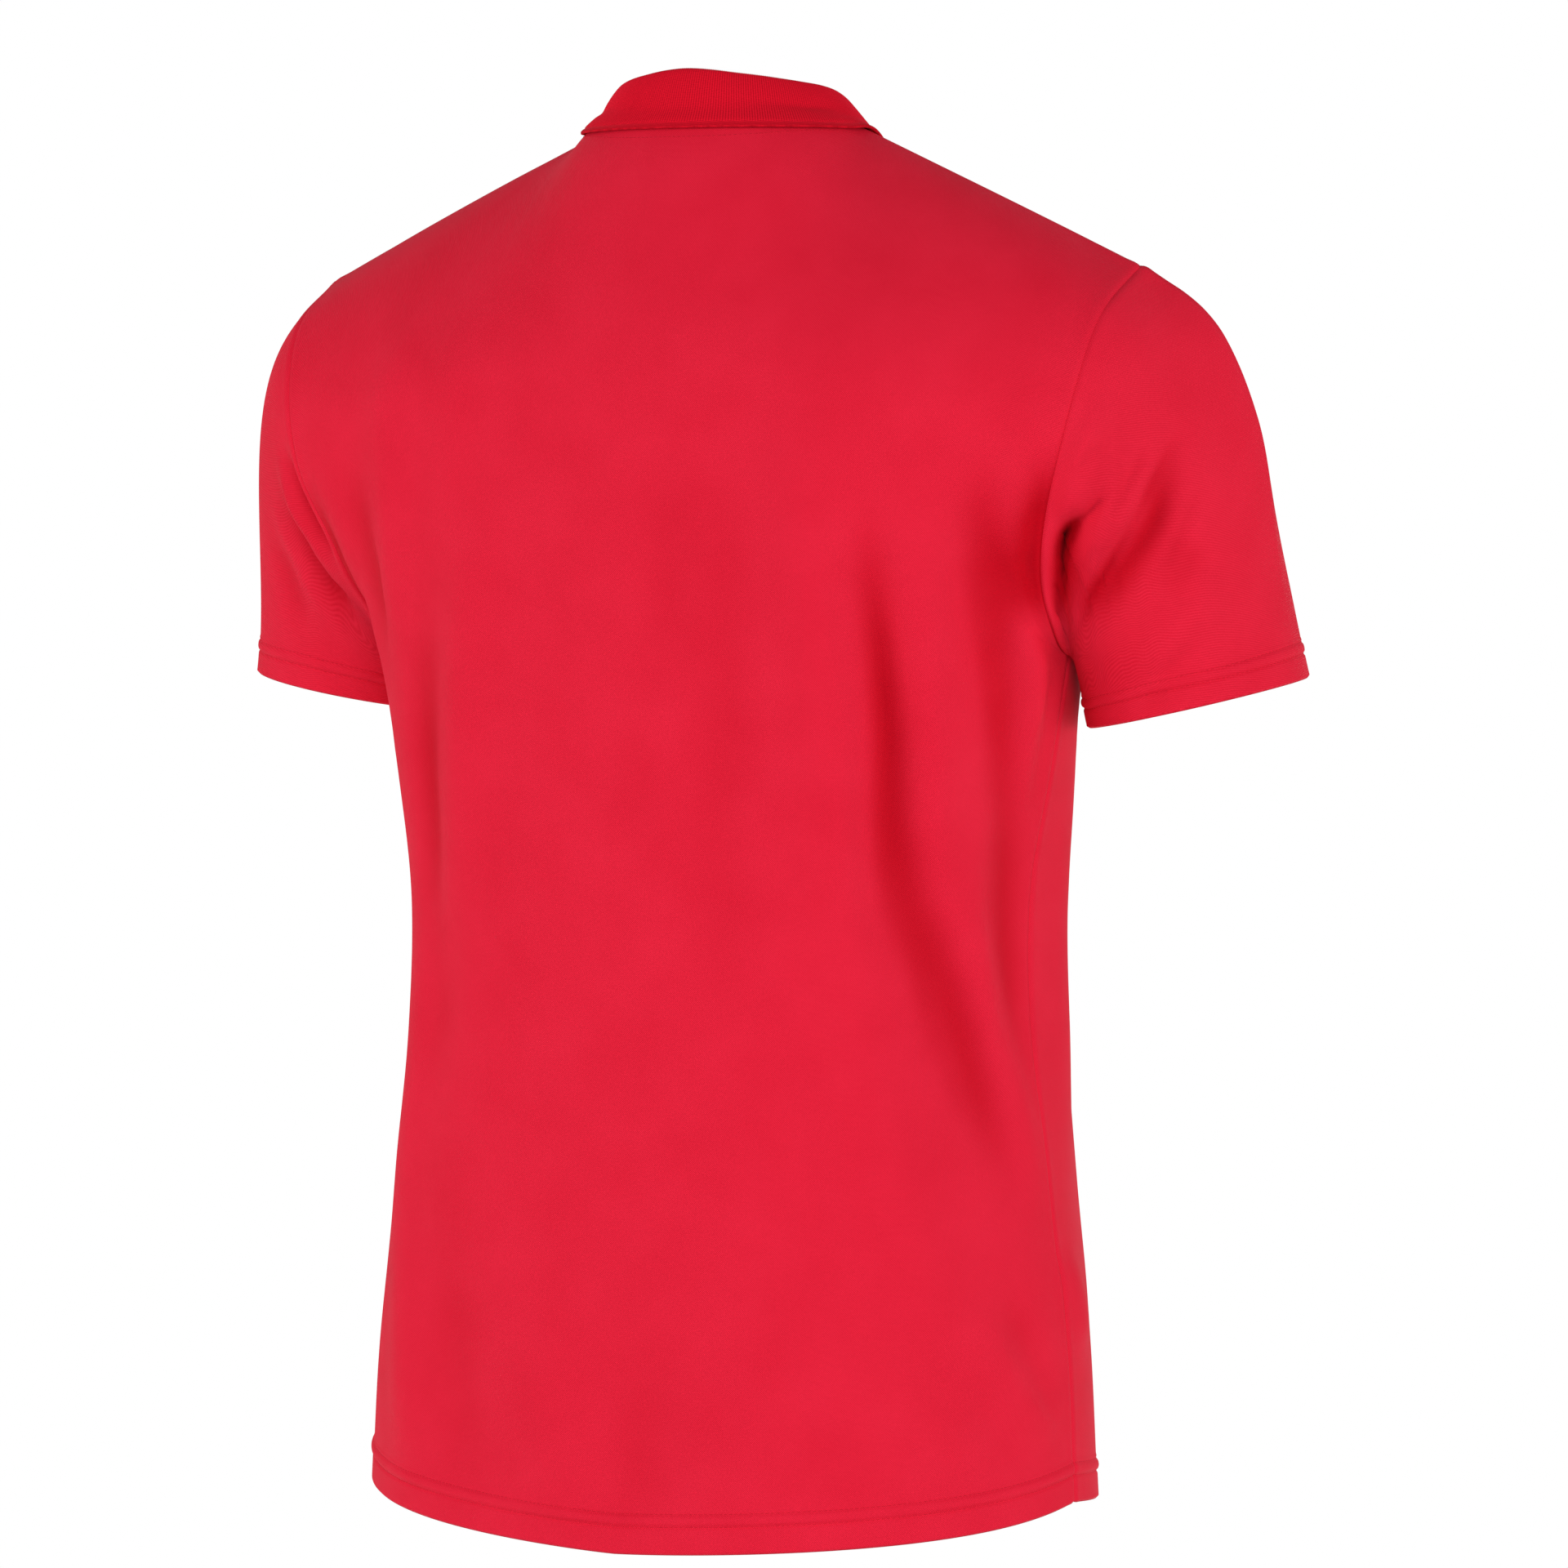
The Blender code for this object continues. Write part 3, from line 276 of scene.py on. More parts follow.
def top_edge(side, across):
    """A panel's top edge: half the neckline, and a shoulder seam on each side of it."""
    turn = neck_turn(side, across)
    neck = neckline(turn)
    tip = np.array(BACK_ARMHOLE[-1][1:]) * CM
    share = np.clip((np.abs(across) - NECK_SHARE) / (1 - NECK_SHARE), 0, 1)[..., None]
    tips = np.where((across < 0)[..., None], tip * [-1, 1, 1], tip)
    return neck * (1 - share) + tips * share


# The way the cloth runs as it reaches the top edge: how far for one yoke's height of it, and how
# steeply, at the neckline's middle and at the shoulder seam
TOP_RUN = {1: (7.0 * CM, 10.0 * CM), -1: (4.6 * CM, 9.0 * CM)}
TOP_RISE = {1: (1.36, -0.06), -1: (1.87, 0.20)}
TOP_BLEND = 0.06  # how far past the neck point the neckline's values still count
SHOULDER_FALL = 0.46  # down for each metre outwards
NECK_POINT_LEAN = 48.0  # how far the columns by the neck point turn in towards it, in degrees
LEAN_REACH = 0.16


def top_slope(side, across):
    """The way the cloth runs as it reaches the top edge."""
    away = np.abs(across)
    share = soft_step(away / (NECK_SHARE + TOP_BLEND))
    past = np.maximum(away - NECK_SHARE, 0)
    lean = np.radians(NECK_POINT_LEAN) * np.minimum(away / NECK_SHARE, 1) * bell(past, LEAN_REACH)
    run = TOP_RUN[side][0] * (1 - share) + TOP_RUN[side][1] * share
    rise = TOP_RISE[side][0] * (1 - share) + TOP_RISE[side][1] * share
    return joined(
        -np.sign(across) * run * np.sin(lean),
        -side * run * np.cos(lean),
        run * (SHOULDER_FALL * np.sin(lean) + rise * np.cos(lean)),
    )


# %% [markdown]
# ## A panel's surface
# Below the yoke each height of the body is part of an oval, from the middle line to the side seam. Above
# it the cloth runs on to the shoulder seam and the neckline. One function gives a point for any
# (across, up), so the same surface can be cut into a coarse grid for the solids and a fine one here.

# %% Panels without folds
SOFT_INWARDS = 0.2  # how far in from the side seam the softening grows to its full stretch
SOFT_ABOVE, SOFT_SPREAD = 0.02, 0.14  # how far above the armpit it is strongest, and how far it reaches
RIM_POWER = 8  # how near its edge the yoke turns to follow the armhole exactly


def section(side, across, up):
    """A panel's cross-section: part of an oval that is a little square, from the middle to each edge."""
    by_armpit = bell(up - ARMPIT_UP - SOFT_ABOVE, SOFT_SPREAD)
    inwards = soft_step((1 - np.abs(across)) / SOFT_INWARDS) * by_armpit
    rim = softened(lambda u: edge(side, np.clip(u, 0, 1)), up, ARMPIT_SOFTNESS * inwards)
    middle = along(BACK_MIDDLE if side > 0 else FRONT_MIDDLE, up)
    most = np.arccos(np.clip(rim[..., 1] / middle[..., 0], -0.2, 0.999))
    turn = np.abs(across) * most

    def square(angle):
        return 1 + SECTION_SQUARENESS * np.sin(2 * angle) ** 2

    width = np.sin(turn) * square(turn) / (np.sin(most) * square(most))
    inset = (1 - np.cos(turn) * square(turn)) / (1 - np.cos(most) * square(most))
    lift = LEFT_HEM_LIFT * np.maximum(across, 0) * bell(up, HEM_LIFT_REACH)
    return joined(
        np.sign(across) * rim[..., 0] * width,
        middle[..., 0] + (rim[..., 1] - middle[..., 0]) * inset,
        middle[..., 1] + (rim[..., 2] - middle[..., 1]) * np.abs(across) ** HEM_CURVE + lift,
    )


def smooth_panel(side, across, up):
    """A panel's points before it has any folds."""
    across, up = np.broadcast_arrays(np.asarray(across, float), np.asarray(up, float))
    body = section(side, across, np.minimum(up, YOKE_UP))
    step = 0.004
    yoke = 1 - YOKE_UP

    def rise(where):
        start = section(side, where, np.full_like(where, YOKE_UP))
        below = section(side, where, np.full_like(where, YOKE_UP - step))
        t = np.clip((up - YOKE_UP) / yoke, 0, 1)
        stretch = NECK_POINT_SOFTNESS * (1 - t)
        top = softened(lambda a: top_edge(side, a), where, stretch)
        slope = softened(lambda a: top_slope(side, a), where, stretch)
        return hermite(start, (start - below) / step * yoke, top, slope, t)

    ends = np.where(across < 0, -1.0, 1.0)
    rim = edge(side, np.maximum(up, YOKE_UP))
    rim = rim * joined(ends, np.ones_like(ends), np.ones_like(ends))
    top = rise(across) + (rim - rise(ends)) * (across**RIM_POWER)[..., None]
    return np.where((up > YOKE_UP)[..., None], top, body)


def normals(surface, a, b, step=0.002):
    """Unit normals of surface(a, b), on the side that a cross b gives."""
    da = surface(a + step, b) - surface(a - step, b)
    db = surface(a, b + step) - surface(a, b - step)
    return unit(np.cross(da, db))


# %% [markdown]
# ## Folds
# A fold is a long soft ridge or trough that starts and ends in nothing. Modelling one by hand is slow
# and hard to repeat, and a simulation gives folds, but not these ones. Here each fold is a row of a
# table: a curve through three places of its piece, a width and a height. The large ones are also in the
# rigid solids, and the sharper creases that follow them are only here.

# %% The large folds
class Fold(NamedTuple):
    """A soft ridge (height above 0) or trough along a curve through three places of a piece.

    On a panel a place is (across, up), and on a sleeve it is (turn, down), as its functions take them.
    half_width is in centimetres and height in millimetres.
    """

    start: tuple
    middle: tuple
    end: tuple
    half_width: float
    height: float


BACK_FOLDS = [
    # left of the middle: two ridges off the shoulder blade and the long hollow between them
    Fold((0.45, 0.88), (0.44, 0.77), (0.44, 0.64), 1.6, 3.0),
    Fold((0.37, 0.76), (0.35, 0.56), (0.48, 0.34), 2.0, 5.5),
    Fold((0.60, 0.88), (0.62, 0.74), (0.54, 0.55), 1.5, 4.5),
    Fold((0.48, 0.70), (0.46, 0.47), (0.57, 0.22), 2.0, -6.0),
    Fold((0.47, 0.50), (0.57, 0.31), (0.62, 0.14), 1.9, 4.5),
    Fold((0.76, 0.80), (0.74, 0.69), (0.67, 0.56), 1.4, -4.5),
    Fold((0.80, 0.62), (0.78, 0.42), (0.80, 0.20), 2.0, -4.5),
    # middle: shallow
    Fold((-0.26, 0.80), (-0.21, 0.59), (-0.20, 0.27), 2.4, -3.0),
    Fold((-0.08, 0.76), (-0.09, 0.66), (-0.10, 0.54), 1.6, -2.0),
    # right of the middle: long folds that fan from the blade to the side seam
    Fold((-0.40, 0.82), (-0.39, 0.59), (-0.47, 0.32), 2.0, 5.0),
    Fold((-0.44, 0.46), (-0.55, 0.24), (-0.71, 0.09), 2.2, 4.5),
    Fold((-0.56, 0.78), (-0.52, 0.54), (-0.72, 0.32), 1.6, -7.5),
    Fold((-0.60, 0.52), (-0.74, 0.35), (-0.93, 0.20), 1.7, -7.0),
    Fold((-0.63, 0.74), (-0.61, 0.53), (-0.79, 0.34), 1.4, 6.0),
    Fold((-0.68, 0.48), (-0.85, 0.33), (-0.96, 0.18), 1.4, 5.0),
    Fold((-0.80, 0.84), (-0.82, 0.63), (-0.82, 0.44), 1.5, -7.0),
    Fold((-0.80, 0.60), (-0.90, 0.43), (-0.92, 0.24), 1.5, -6.0),
    # the valley along each armhole
    Fold((-0.99, 0.82), (-0.975, 0.71), (-0.985, 0.60), 1.2, -10.0),
    Fold((0.99, 0.80), (0.975, 0.70), (0.985, 0.60), 1.1, -7.0),
    Fold((-0.95, 0.71), (-0.87, 0.56), (-0.97, 0.44), 1.4, 5.5),
    # by the hem
    Fold((0.60, 0.24), (0.52, 0.12), (0.47, 0.00), 1.8, 4.0),
    Fold((0.40, 0.22), (0.34, 0.11), (0.30, 0.00), 2.2, -3.0),
    Fold((0.19, 0.18), (0.14, 0.08), (0.10, 0.00), 2.4, 3.5),
    Fold((-0.01, 0.16), (-0.04, 0.08), (-0.05, 0.00), 2.4, -2.5),
    Fold((-0.64, 0.16), (-0.78, 0.10), (-0.91, 0.05), 1.6, 3.5),
    Fold((-0.76, 0.18), (-0.83, 0.11), (-0.93, 0.06), 1.3, -3.5),
]
FRONT_FOLDS = [
    # from each armpit in over the chest
    Fold((-0.86, 0.66), (-0.68, 0.56), (-0.56, 0.42), 2.0, -5.5),
    Fold((-0.80, 0.74), (-0.60, 0.66), (-0.44, 0.54), 1.8, 4.0),
    Fold((0.87, 0.66), (0.70, 0.55), (0.59, 0.40), 2.0, -5.5),
    Fold((0.80, 0.75), (0.62, 0.65), (0.48, 0.55), 1.8, 4.0),
    Fold((-0.62, 0.90), (-0.60, 0.80), (-0.58, 0.72), 1.8, 2.5),
    Fold((0.62, 0.89), (0.58, 0.79), (0.56, 0.71), 1.8, 2.5),
    # down the body
    Fold((-0.62, 0.42), (-0.60, 0.22), (-0.63, 0.02), 2.2, 5.5),
    Fold((-0.42, 0.40), (-0.40, 0.20), (-0.44, 0.00), 2.2, -5.5),
    Fold((-0.14, 0.44), (-0.16, 0.22), (-0.20, 0.00), 2.6, 4.0),
    Fold((0.15, 0.36), (0.16, 0.18), (0.20, 0.00), 2.4, -5.0),
    Fold((0.40, 0.42), (0.44, 0.22), (0.46, 0.00), 2.2, 5.5),
    Fold((0.64, 0.46), (0.66, 0.26), (0.72, 0.06), 2.0, -5.5),
    Fold((0.10, 0.63), (0.14, 0.54), (0.22, 0.45), 1.6, 2.5),
    # at the sides
    Fold((-0.84, 0.56), (-0.80, 0.38), (-0.84, 0.20), 2.0, 5.5),
    Fold((0.84, 0.58), (0.82, 0.40), (0.86, 0.22), 2.0, 5.5),
    Fold((-0.96, 0.18), (-0.91, 0.14), (-0.84, 0.10), 1.4, 4.0),
]
LEFT_SLEEVE_FOLDS = [
    # the long hollow down the outside
    Fold((0.58, 0.08), (0.60, 0.42), (0.58, 0.80), 3.0, -6.5),
    # behind, from the armhole down and out
    Fold((0.29, 0.11), (0.21, 0.12), (0.14, 0.20), 1.0, -6.0),
    Fold((0.28, 0.32), (0.20, 0.42), (0.12, 0.58), 0.9, -6.0),
    Fold((0.29, 0.22), (0.21, 0.28), (0.15, 0.40), 0.8, 4.5),
    Fold((0.31, 0.52), (0.28, 0.66), (0.26, 0.82), 1.0, -3.0),
    # in front
    Fold((0.63, 0.40), (0.72, 0.46), (0.84, 0.42), 1.2, -6.0),
    Fold((0.62, 0.56), (0.70, 0.64), (0.80, 0.66), 1.1, 4.5),
    Fold((0.60, 0.70), (0.67, 0.76), (0.74, 0.80), 1.0, -3.0),
]
RIGHT_SLEEVE_FOLDS = [
    # the sleeve's head stands over the armhole seam
    Fold((0.34, 0.12), (0.25, 0.12), (0.17, 0.14), 1.1, 6.0),
    # behind, from the armhole up and out
    Fold((0.42, 0.34), (0.28, 0.52), (0.12, 0.50), 0.9, -7.5),
    Fold((0.39, 0.60), (0.34, 0.65), (0.29, 0.72), 1.1, -4.0),
    Fold((0.33, 0.38), (0.25, 0.38), (0.17, 0.22), 1.0, 4.0),
    Fold((0.23, 0.24), (0.17, 0.25), (0.11, 0.42), 0.95, -7.0),
    Fold((0.40, 0.66), (0.31, 0.76), (0.17, 0.78), 1.3, 4.0),
    Fold((0.36, 0.87), (0.28, 0.92), (0.20, 0.95), 1.0, -3.0),
    Fold((0.50, 0.04), (0.49, 0.34), (0.47, 0.76), 3.0, 5.0),
    # in front
    Fold((0.62, 0.38), (0.73, 0.48), (0.85, 0.44), 1.2, -5.5),
    Fold((0.61, 0.58), (0.71, 0.62), (0.81, 0.70), 1.1, 4.0),
]
print("large folds:", len(BACK_FOLDS), len(FRONT_FOLDS), len(LEFT_SLEEVE_FOLDS), len(RIGHT_SLEEVE_FOLDS))

# %% The sharper creases
BACK_CREASES = [
    # right of the middle: the long crease that the shoulder blade starts, and its crisp left bank
    Fold((-0.52, 0.66), (-0.50, 0.50), (-0.60, 0.36), 0.9, -2.2),
    Fold((-0.58, 0.44), (-0.66, 0.33), (-0.80, 0.24), 0.9, -2.0),
    Fold((-0.47, 0.62), (-0.45, 0.48), (-0.54, 0.36), 1.0, 1.8),
    Fold((-0.74, 0.72), (-0.74, 0.60), (-0.78, 0.48), 0.8, -2.0),
    Fold((-0.80, 0.50), (-0.84, 0.38), (-0.90, 0.26), 0.8, -1.8),
    Fold((-0.68, 0.74), (-0.66, 0.64), (-0.68, 0.52), 1.0, 1.5),
    Fold((-0.90, 0.66), (-0.88, 0.60), (-0.90, 0.52), 0.7, 1.5),
    Fold((-0.94, 0.62), (-0.93, 0.54), (-0.96, 0.46), 0.7, -2.5),
    # left of the middle
    Fold((0.52, 0.62), (0.50, 0.50), (0.57, 0.36), 1.0, -1.5),
    Fold((0.44, 0.58), (0.43, 0.46), (0.50, 0.34), 1.0, 1.5),
    Fold((0.72, 0.72), (0.70, 0.66), (0.64, 0.60), 0.8, -1.2),
    # by the hem
    Fold((-0.58, 0.085), (-0.64, 0.060), (-0.70, 0.035), 0.6, 1.0),
    Fold((-0.66, 0.095), (-0.73, 0.062), (-0.80, 0.040), 0.6, -1.2),
    Fold((-0.80, 0.090), (-0.86, 0.065), (-0.93, 0.045), 0.6, 1.2),
]
FRONT_CREASES = [
    Fold((-0.92, 0.63), (-0.80, 0.58), (-0.70, 0.50), 0.9, -2.0),
    Fold((0.92, 0.63), (0.80, 0.57), (0.71, 0.49), 0.9, -2.0),
    Fold((-0.86, 0.70), (-0.74, 0.66), (-0.62, 0.60), 0.8, 1.4),
    Fold((0.86, 0.71), (0.73, 0.66), (0.61, 0.61), 0.8, 1.4),
    Fold((-0.50, 0.30), (-0.49, 0.18), (-0.52, 0.06), 1.0, -1.5),
    Fold((0.34, 0.34), (0.36, 0.20), (0.38, 0.06), 1.0, 1.5),
    Fold((0.55, 0.38), (0.57, 0.24), (0.60, 0.10), 1.0, -1.5),
]
LEFT_SLEEVE_CREASES = [
    Fold((0.29, 0.26), (0.22, 0.34), (0.14, 0.50), 0.5, -1.8),
    Fold((0.30, 0.20), (0.23, 0.24), (0.17, 0.32), 0.5, 1.4),
    Fold((0.31, 0.42), (0.26, 0.54), (0.21, 0.70), 0.5, 1.2),
    Fold((0.64, 0.46), (0.73, 0.52), (0.84, 0.52), 0.6, -1.8),
]
RIGHT_SLEEVE_CREASES = [
    # the long diagonal from the head, with two shorter ones beside it
    Fold((0.43, 0.365), (0.25, 0.455), (0.09, 0.49), 0.38, -3.6),
    Fold((0.36, 0.33), (0.30, 0.355), (0.24, 0.37), 0.40, -2.0),
    Fold((0.42, 0.48), (0.36, 0.56), (0.28, 0.64), 0.45, -2.0),
    # the narrow dark crevice that runs down into the armhole seam
    Fold((0.24, 0.24), (0.145, 0.18), (0.04, 0.30), 0.42, -7.0),
    Fold((0.28, 0.31), (0.225, 0.265), (0.16, 0.19), 0.36, -4.0),
    Fold((0.32, 0.23), (0.26, 0.14), (0.20, 0.07), 0.40, -2.5),
    Fold((0.32, 0.27), (0.24, 0.33), (0.17, 0.35), 0.50, 1.8),
    Fold((0.35, 0.79), (0.30, 0.85), (0.25, 0.87), 0.45, -1.5),
    Fold((0.63, 0.44), (0.73, 0.54), (0.84, 0.52), 0.6, -1.8),
]
FOLDS = {
    "back": BACK_FOLDS + BACK_CREASES,
    "front": FRONT_FOLDS + FRONT_CREASES,
    "left sleeve": LEFT_SLEEVE_FOLDS + LEFT_SLEEVE_CREASES,
    "right sleeve": RIGHT_SLEEVE_FOLDS + RIGHT_SLEEVE_CREASES,
}
UNFOLDED = {
    "back": lambda a, b: smooth_panel(1, a, b),
    "front": lambda a, b: smooth_panel(-1, a, b),
    "left sleeve": lambda a, b: smooth_sleeve(1, a, b),
    "right sleeve": lambda a, b: smooth_sleeve(-1, a, b) * [-1, 1, 1],
}
FOLD_PIECES = 8  # the straight pieces a fold's curve is followed by
FADE = 0.38  # the share of a fold over which each end fades
print("folds and creases:", {piece: len(table) for piece, table in FOLDS.items()})

# %% Folding a surface
NEAR_TOP = 0.995  # normals are read no higher than this, as a panel stops at 1


@functools.cache
def fold_paths(piece):
    """Each fold of a piece as a line of points on it, before folding."""
    t = np.linspace(0, 1, FOLD_PIECES + 1)[:, None]
    paths = []
    for f in FOLDS[piece]:
        first, middle, last = (np.array(place) for place in (f.start, f.middle, f.end))
        bend = 2 * middle - (first + last) / 2
        places = first * (1 - t) ** 2 + bend * 2 * t * (1 - t) + last * t**2
        paths.append(UNFOLDED[piece](places[:, 0], places[:, 1]))
    return paths


def fold_height(piece, points):
    """How far the folds of a piece move each point out, in metres."""
    flat = points.reshape(-1, 3)
    total = np.zeros(len(flat))
    for f, path in zip(FOLDS[piece], fold_paths(piece)):
        nearest = np.full(len(flat), 1e9)
        along_path = np.zeros(len(flat))
        for k, (a, b) in enumerate(zip(path, path[1:])):
            s = np.clip((flat - a) @ (b - a) / ((b - a) @ (b - a)), 0, 1)
            away = np.linalg.norm(flat - a - s[:, None] * (b - a), axis=1)
            closer = away < nearest
            nearest = np.where(closer, away, nearest)
            along_path = np.where(closer, (k + s) / FOLD_PIECES, along_path)
        across = bell(nearest, f.half_width * CM)
        ends = soft_step(along_path / FADE) * soft_step((1 - along_path) / FADE)
        total += f.height * MM * across * ends
    return total.reshape(points.shape[:-1])


def panel(side, across, up):
    """A panel's middle surface, folds and all."""
    base = smooth_panel(side, across, up)
    n = -side * normals(lambda a, b: smooth_panel(side, a, b), across, np.minimum(up, NEAR_TOP))
    return base + n * (fold_height("back", base) + fold_height("front", base))[..., None]


# %% [markdown]
# ## Sleeves
# A sleeve starts from its armhole and ends in a round cuff, so each of its lines is one cubic from the
# first to the second. How far the line runs straight on from the shoulder sets how full the sleeve is.

# %% Sleeve shape
CUFF_CENTRE = np.array([24.5, -4.5, 0.0]) * CM
CUFF_OUT = 5.6 * CM
CUFF_DEEP = 5.8 * CM


class Cuff(NamedTuple):
    """How high a cuff's centre is, in centimetres, and how much it rises for each metre out and back."""

    centre_z: float
    rise_out: float
    rise_back: float


LEFT_CUFF = Cuff(-29.4, 0.20, 0.0)
RIGHT_CUFF = Cuff(-29.85, 0.20, -0.12)
CUFF_WAY = np.array([0.20, -0.12, -1.0])
CUFF_WAY /= np.linalg.norm(CUFF_WAY)


class Reach(NamedTuple):
    """How far the sleeve runs straight on from the armhole and into the cuff, in centimetres."""

    turn: float
    armhole: float
    cuff: float
    outward: float  # the share of the start that goes straight out instead of on from the panel


SLEEVE_REACH = [
    Reach(0.00, 3.0, 4.0, 1.0),
    Reach(0.12, 5.0, 6.0, 0.75),
    Reach(0.25, 9.0, 12.0, 0.25),
    Reach(0.38, 14.0, 16.0, 0.1),
    Reach(0.50, 22.0, 21.0, 0.1),
    Reach(0.62, 15.0, 16.0, 0.1),
    Reach(0.75, 9.0, 12.0, 0.25),
    Reach(0.88, 5.0, 6.0, 0.75),
    Reach(1.00, 3.0, 4.0, 1.0),
]
UNDERARM_WAY = np.array([0.9, -0.1, -0.25])
CROWN_WAY = np.array([0.84, -0.34, -0.50])
CROWN_SPREAD = 0.09  # of a turn, to each side of the shoulder tip
FORWARD = np.array([0.0, -0.12, 0.0])
JUST_INSIDE = 0.985  # where a panel's own run is read, beside its edge
SLEEVE_FADE = 0.12  # the share of a sleeve over which its folds grow from nothing at the armhole
SLEEVE_ENDS = (0.004, 0.996)  # normals are read between these, as a sleeve stops at 0 and 1


def armhole(hand, turn):
    """An armhole's point, as if it were the left one, and the way the cloth runs on there.

    turn goes 0 underarm, 0.25 back, 0.5 shoulder tip, 0.75 front, 1 underarm again.
    """
    behind = turn <= 0.5
    share = np.where(behind, 2 * turn, 2 - 2 * turn)
    up = ARMPIT_UP + (1 - ARMPIT_UP) * share
    out = hand * np.ones_like(up)
    rim, inside = (
        np.where(behind[..., None], panel(1, out * k, up), panel(-1, out * k, up)) * [hand, 1, 1]
        for k in (1, JUST_INSIDE)
    )
    return rim, unit(rim - inside)


def cuff(hand, turn):
    """The sleeve's lower edge, as if it were the left one."""
    angle = 2 * math.pi * turn
    out, back = -CUFF_OUT * np.cos(angle), CUFF_DEEP * np.sin(angle)
    shape = LEFT_CUFF if hand > 0 else RIGHT_CUFF
    height = shape.centre_z * CM + shape.rise_out * out + shape.rise_back * back
    return CUFF_CENTRE + joined(out, back, height)


def smooth_sleeve(hand, turn, down):
    """A sleeve before its folds, as if it were the left one. down is 0 at the armhole, 1 at the cuff."""
    turn, down = np.broadcast_arrays(np.asarray(turn, float) % 1.0, np.asarray(down, float))
    ring, place = np.unique(turn, return_inverse=True)
    rim, run = (points[place.reshape(turn.shape)] for points in armhole(hand, ring))
    table = np.array([r[1:] for r in SLEEVE_REACH])
    knots = [r.turn for r in SLEEVE_REACH]
    start, end, outward = (np.interp(turn, knots, table[:, k]) for k in range(3))
    crown = bell(turn - 0.5, CROWN_SPREAD)[..., None]
    way = run * (1 - outward[..., None]) + UNDERARM_WAY * outward[..., None]
    way = way * (1 - crown) + CROWN_WAY * crown
    way = unit(way + FORWARD * np.sin(np.pi * turn[..., None]))
    leave, arrive = way * (start * CM)[..., None], CUFF_WAY * (end * CM)[..., None]
    return hermite(rim, leave, cuff(hand, turn), arrive, down)


def sleeve(hand, turn, down):
    """A sleeve's middle surface, folds and all, on its own side."""

    def bare(a, b):
        return smooth_sleeve(hand, a, b) * [hand, 1, 1]

    base = bare(turn, down)
    n = hand * normals(bare, turn, np.clip(down, *SLEEVE_ENDS))
    height = fold_height("left sleeve" if hand > 0 else "right sleeve", base)
    return base + n * (height * soft_step(down / SLEEVE_FADE))[..., None]


# %% [markdown]
# ## Collar shape
# A polo collar is one knitted strip. It stands up from the neck seam, rolls over and falls as a leaf
# that ends in two points in front. The table says where the fold and the leaf's edge lie at a few angles
# round the neck.

# %% Collar surface
class Roll(NamedTuple):
    """The collar at one place round the neck, in degrees from the back and centimetres.

    fold_in and fold_up say how far the fold lies inside and above the seam. The leaf's edge is a point.
    """

    turn: float
    fold_in: float
    fold_up: float
    edge_x: float
    edge_y: float
    edge_z: float


COLLAR = [
    Roll(0, 1.25, 2.15, 0.0, 7.00, -0.40),
    Roll(30, 1.30, 1.80, 3.95, 5.98, -0.45),
    Roll(60, 1.40, 1.40, 6.80, 3.35, -0.60),
    Roll(84, 1.45, 1.38, 8.10, 0.15, -0.48),
    Roll(105, 1.35, 1.50, 8.10, -3.2, -2.1),
    Roll(125, 1.15, 1.70, 7.7, -5.7, -4.7),
    Roll(145, 0.95, 1.70, 6.8, -7.8, -7.9),
    Roll(160, 0.75, 1.70, 5.7, -9.0, -10.6),
    Roll(171, 0.60, 1.70, 4.8, -9.7, -12.1),
    Roll(180, 0.50, 1.70, 4.0, -10.1, -12.8),
]
FOLD_RADIUS = 0.26 * CM  # of the roll, to the middle of the wall
STAND_ROWS, ROLL_ROWS, LEAF_ROWS = 3, 3, 6
LEAF_CLEAR = 1.1 * MM  # of the panels
LEAF_FLARE = 0.2  # how much the leaf turns outwards as it ends


def collar_grid(turn):
    """The collar's middle surface, from the neck seam up over the fold and down to the leaf's edge."""
    table = np.array([r[1:] for r in COLLAR]) * CM
    knots = [r.turn for r in COLLAR]
    level = np.array([0.0, 0.0, COLLAR[1].edge_x / COLLAR[1].turn * CM, 0.0, 0.0])
    fold_in, fold_up, x, y, z = smooth_rows(knots, table, np.degrees(np.abs(turn)), first_slope=level).T
    seam = neckline(turn)
    out = joined(np.sin(turn), np.cos(turn), np.zeros_like(turn))
    rise = np.array([0.0, 0.0, 1.0])
    edge_point = joined(np.sign(turn) * x, y, z)

    lean = unit(-out * fold_in[:, None] + rise * fold_up[:, None])
    away = unit(out - lean * np.sum(out * lean, axis=-1, keepdims=True))
    height = np.hypot(fold_in, fold_up)[:, None]
    middle = seam + lean * (height - FOLD_RADIUS) + away * FOLD_RADIUS
    stand = [seam + lean * (height - FOLD_RADIUS) * t for t in np.linspace(0, 1, STAND_ROWS + 1)]
    roll = [
        middle - away * FOLD_RADIUS * math.cos(t) + lean * FOLD_RADIUS * math.sin(t)
        for t in np.linspace(0, math.pi, ROLL_ROWS + 2)[1:]
    ]
    start = roll[-1]
    length = np.linalg.norm(edge_point - start, axis=-1, keepdims=True)
    finish = unit(edge_point - start + out * LEAF_FLARE * length)
    leaf = [
        hermite(start, -lean * length, edge_point, finish * length, np.full(len(turn), t))
        for t in np.linspace(0, 1, LEAF_ROWS + 1)[1:]
    ]
    return np.array([*stand, *roll, *leaf])


# %% [markdown]
# ## From a grid to cloth
# Cloth is thin, but it has two faces and an edge, and both show at the hem, the cuffs and the neck. A
# Solidify modifier would give a wall of one thickness. A hem is two layers with a step where it ends, so
# the wall here is built from the grid, with its own height for the outside and the inside at each point.
# The grid also gives each point its place in the flat cloth, in metres, which the knit pattern follows.

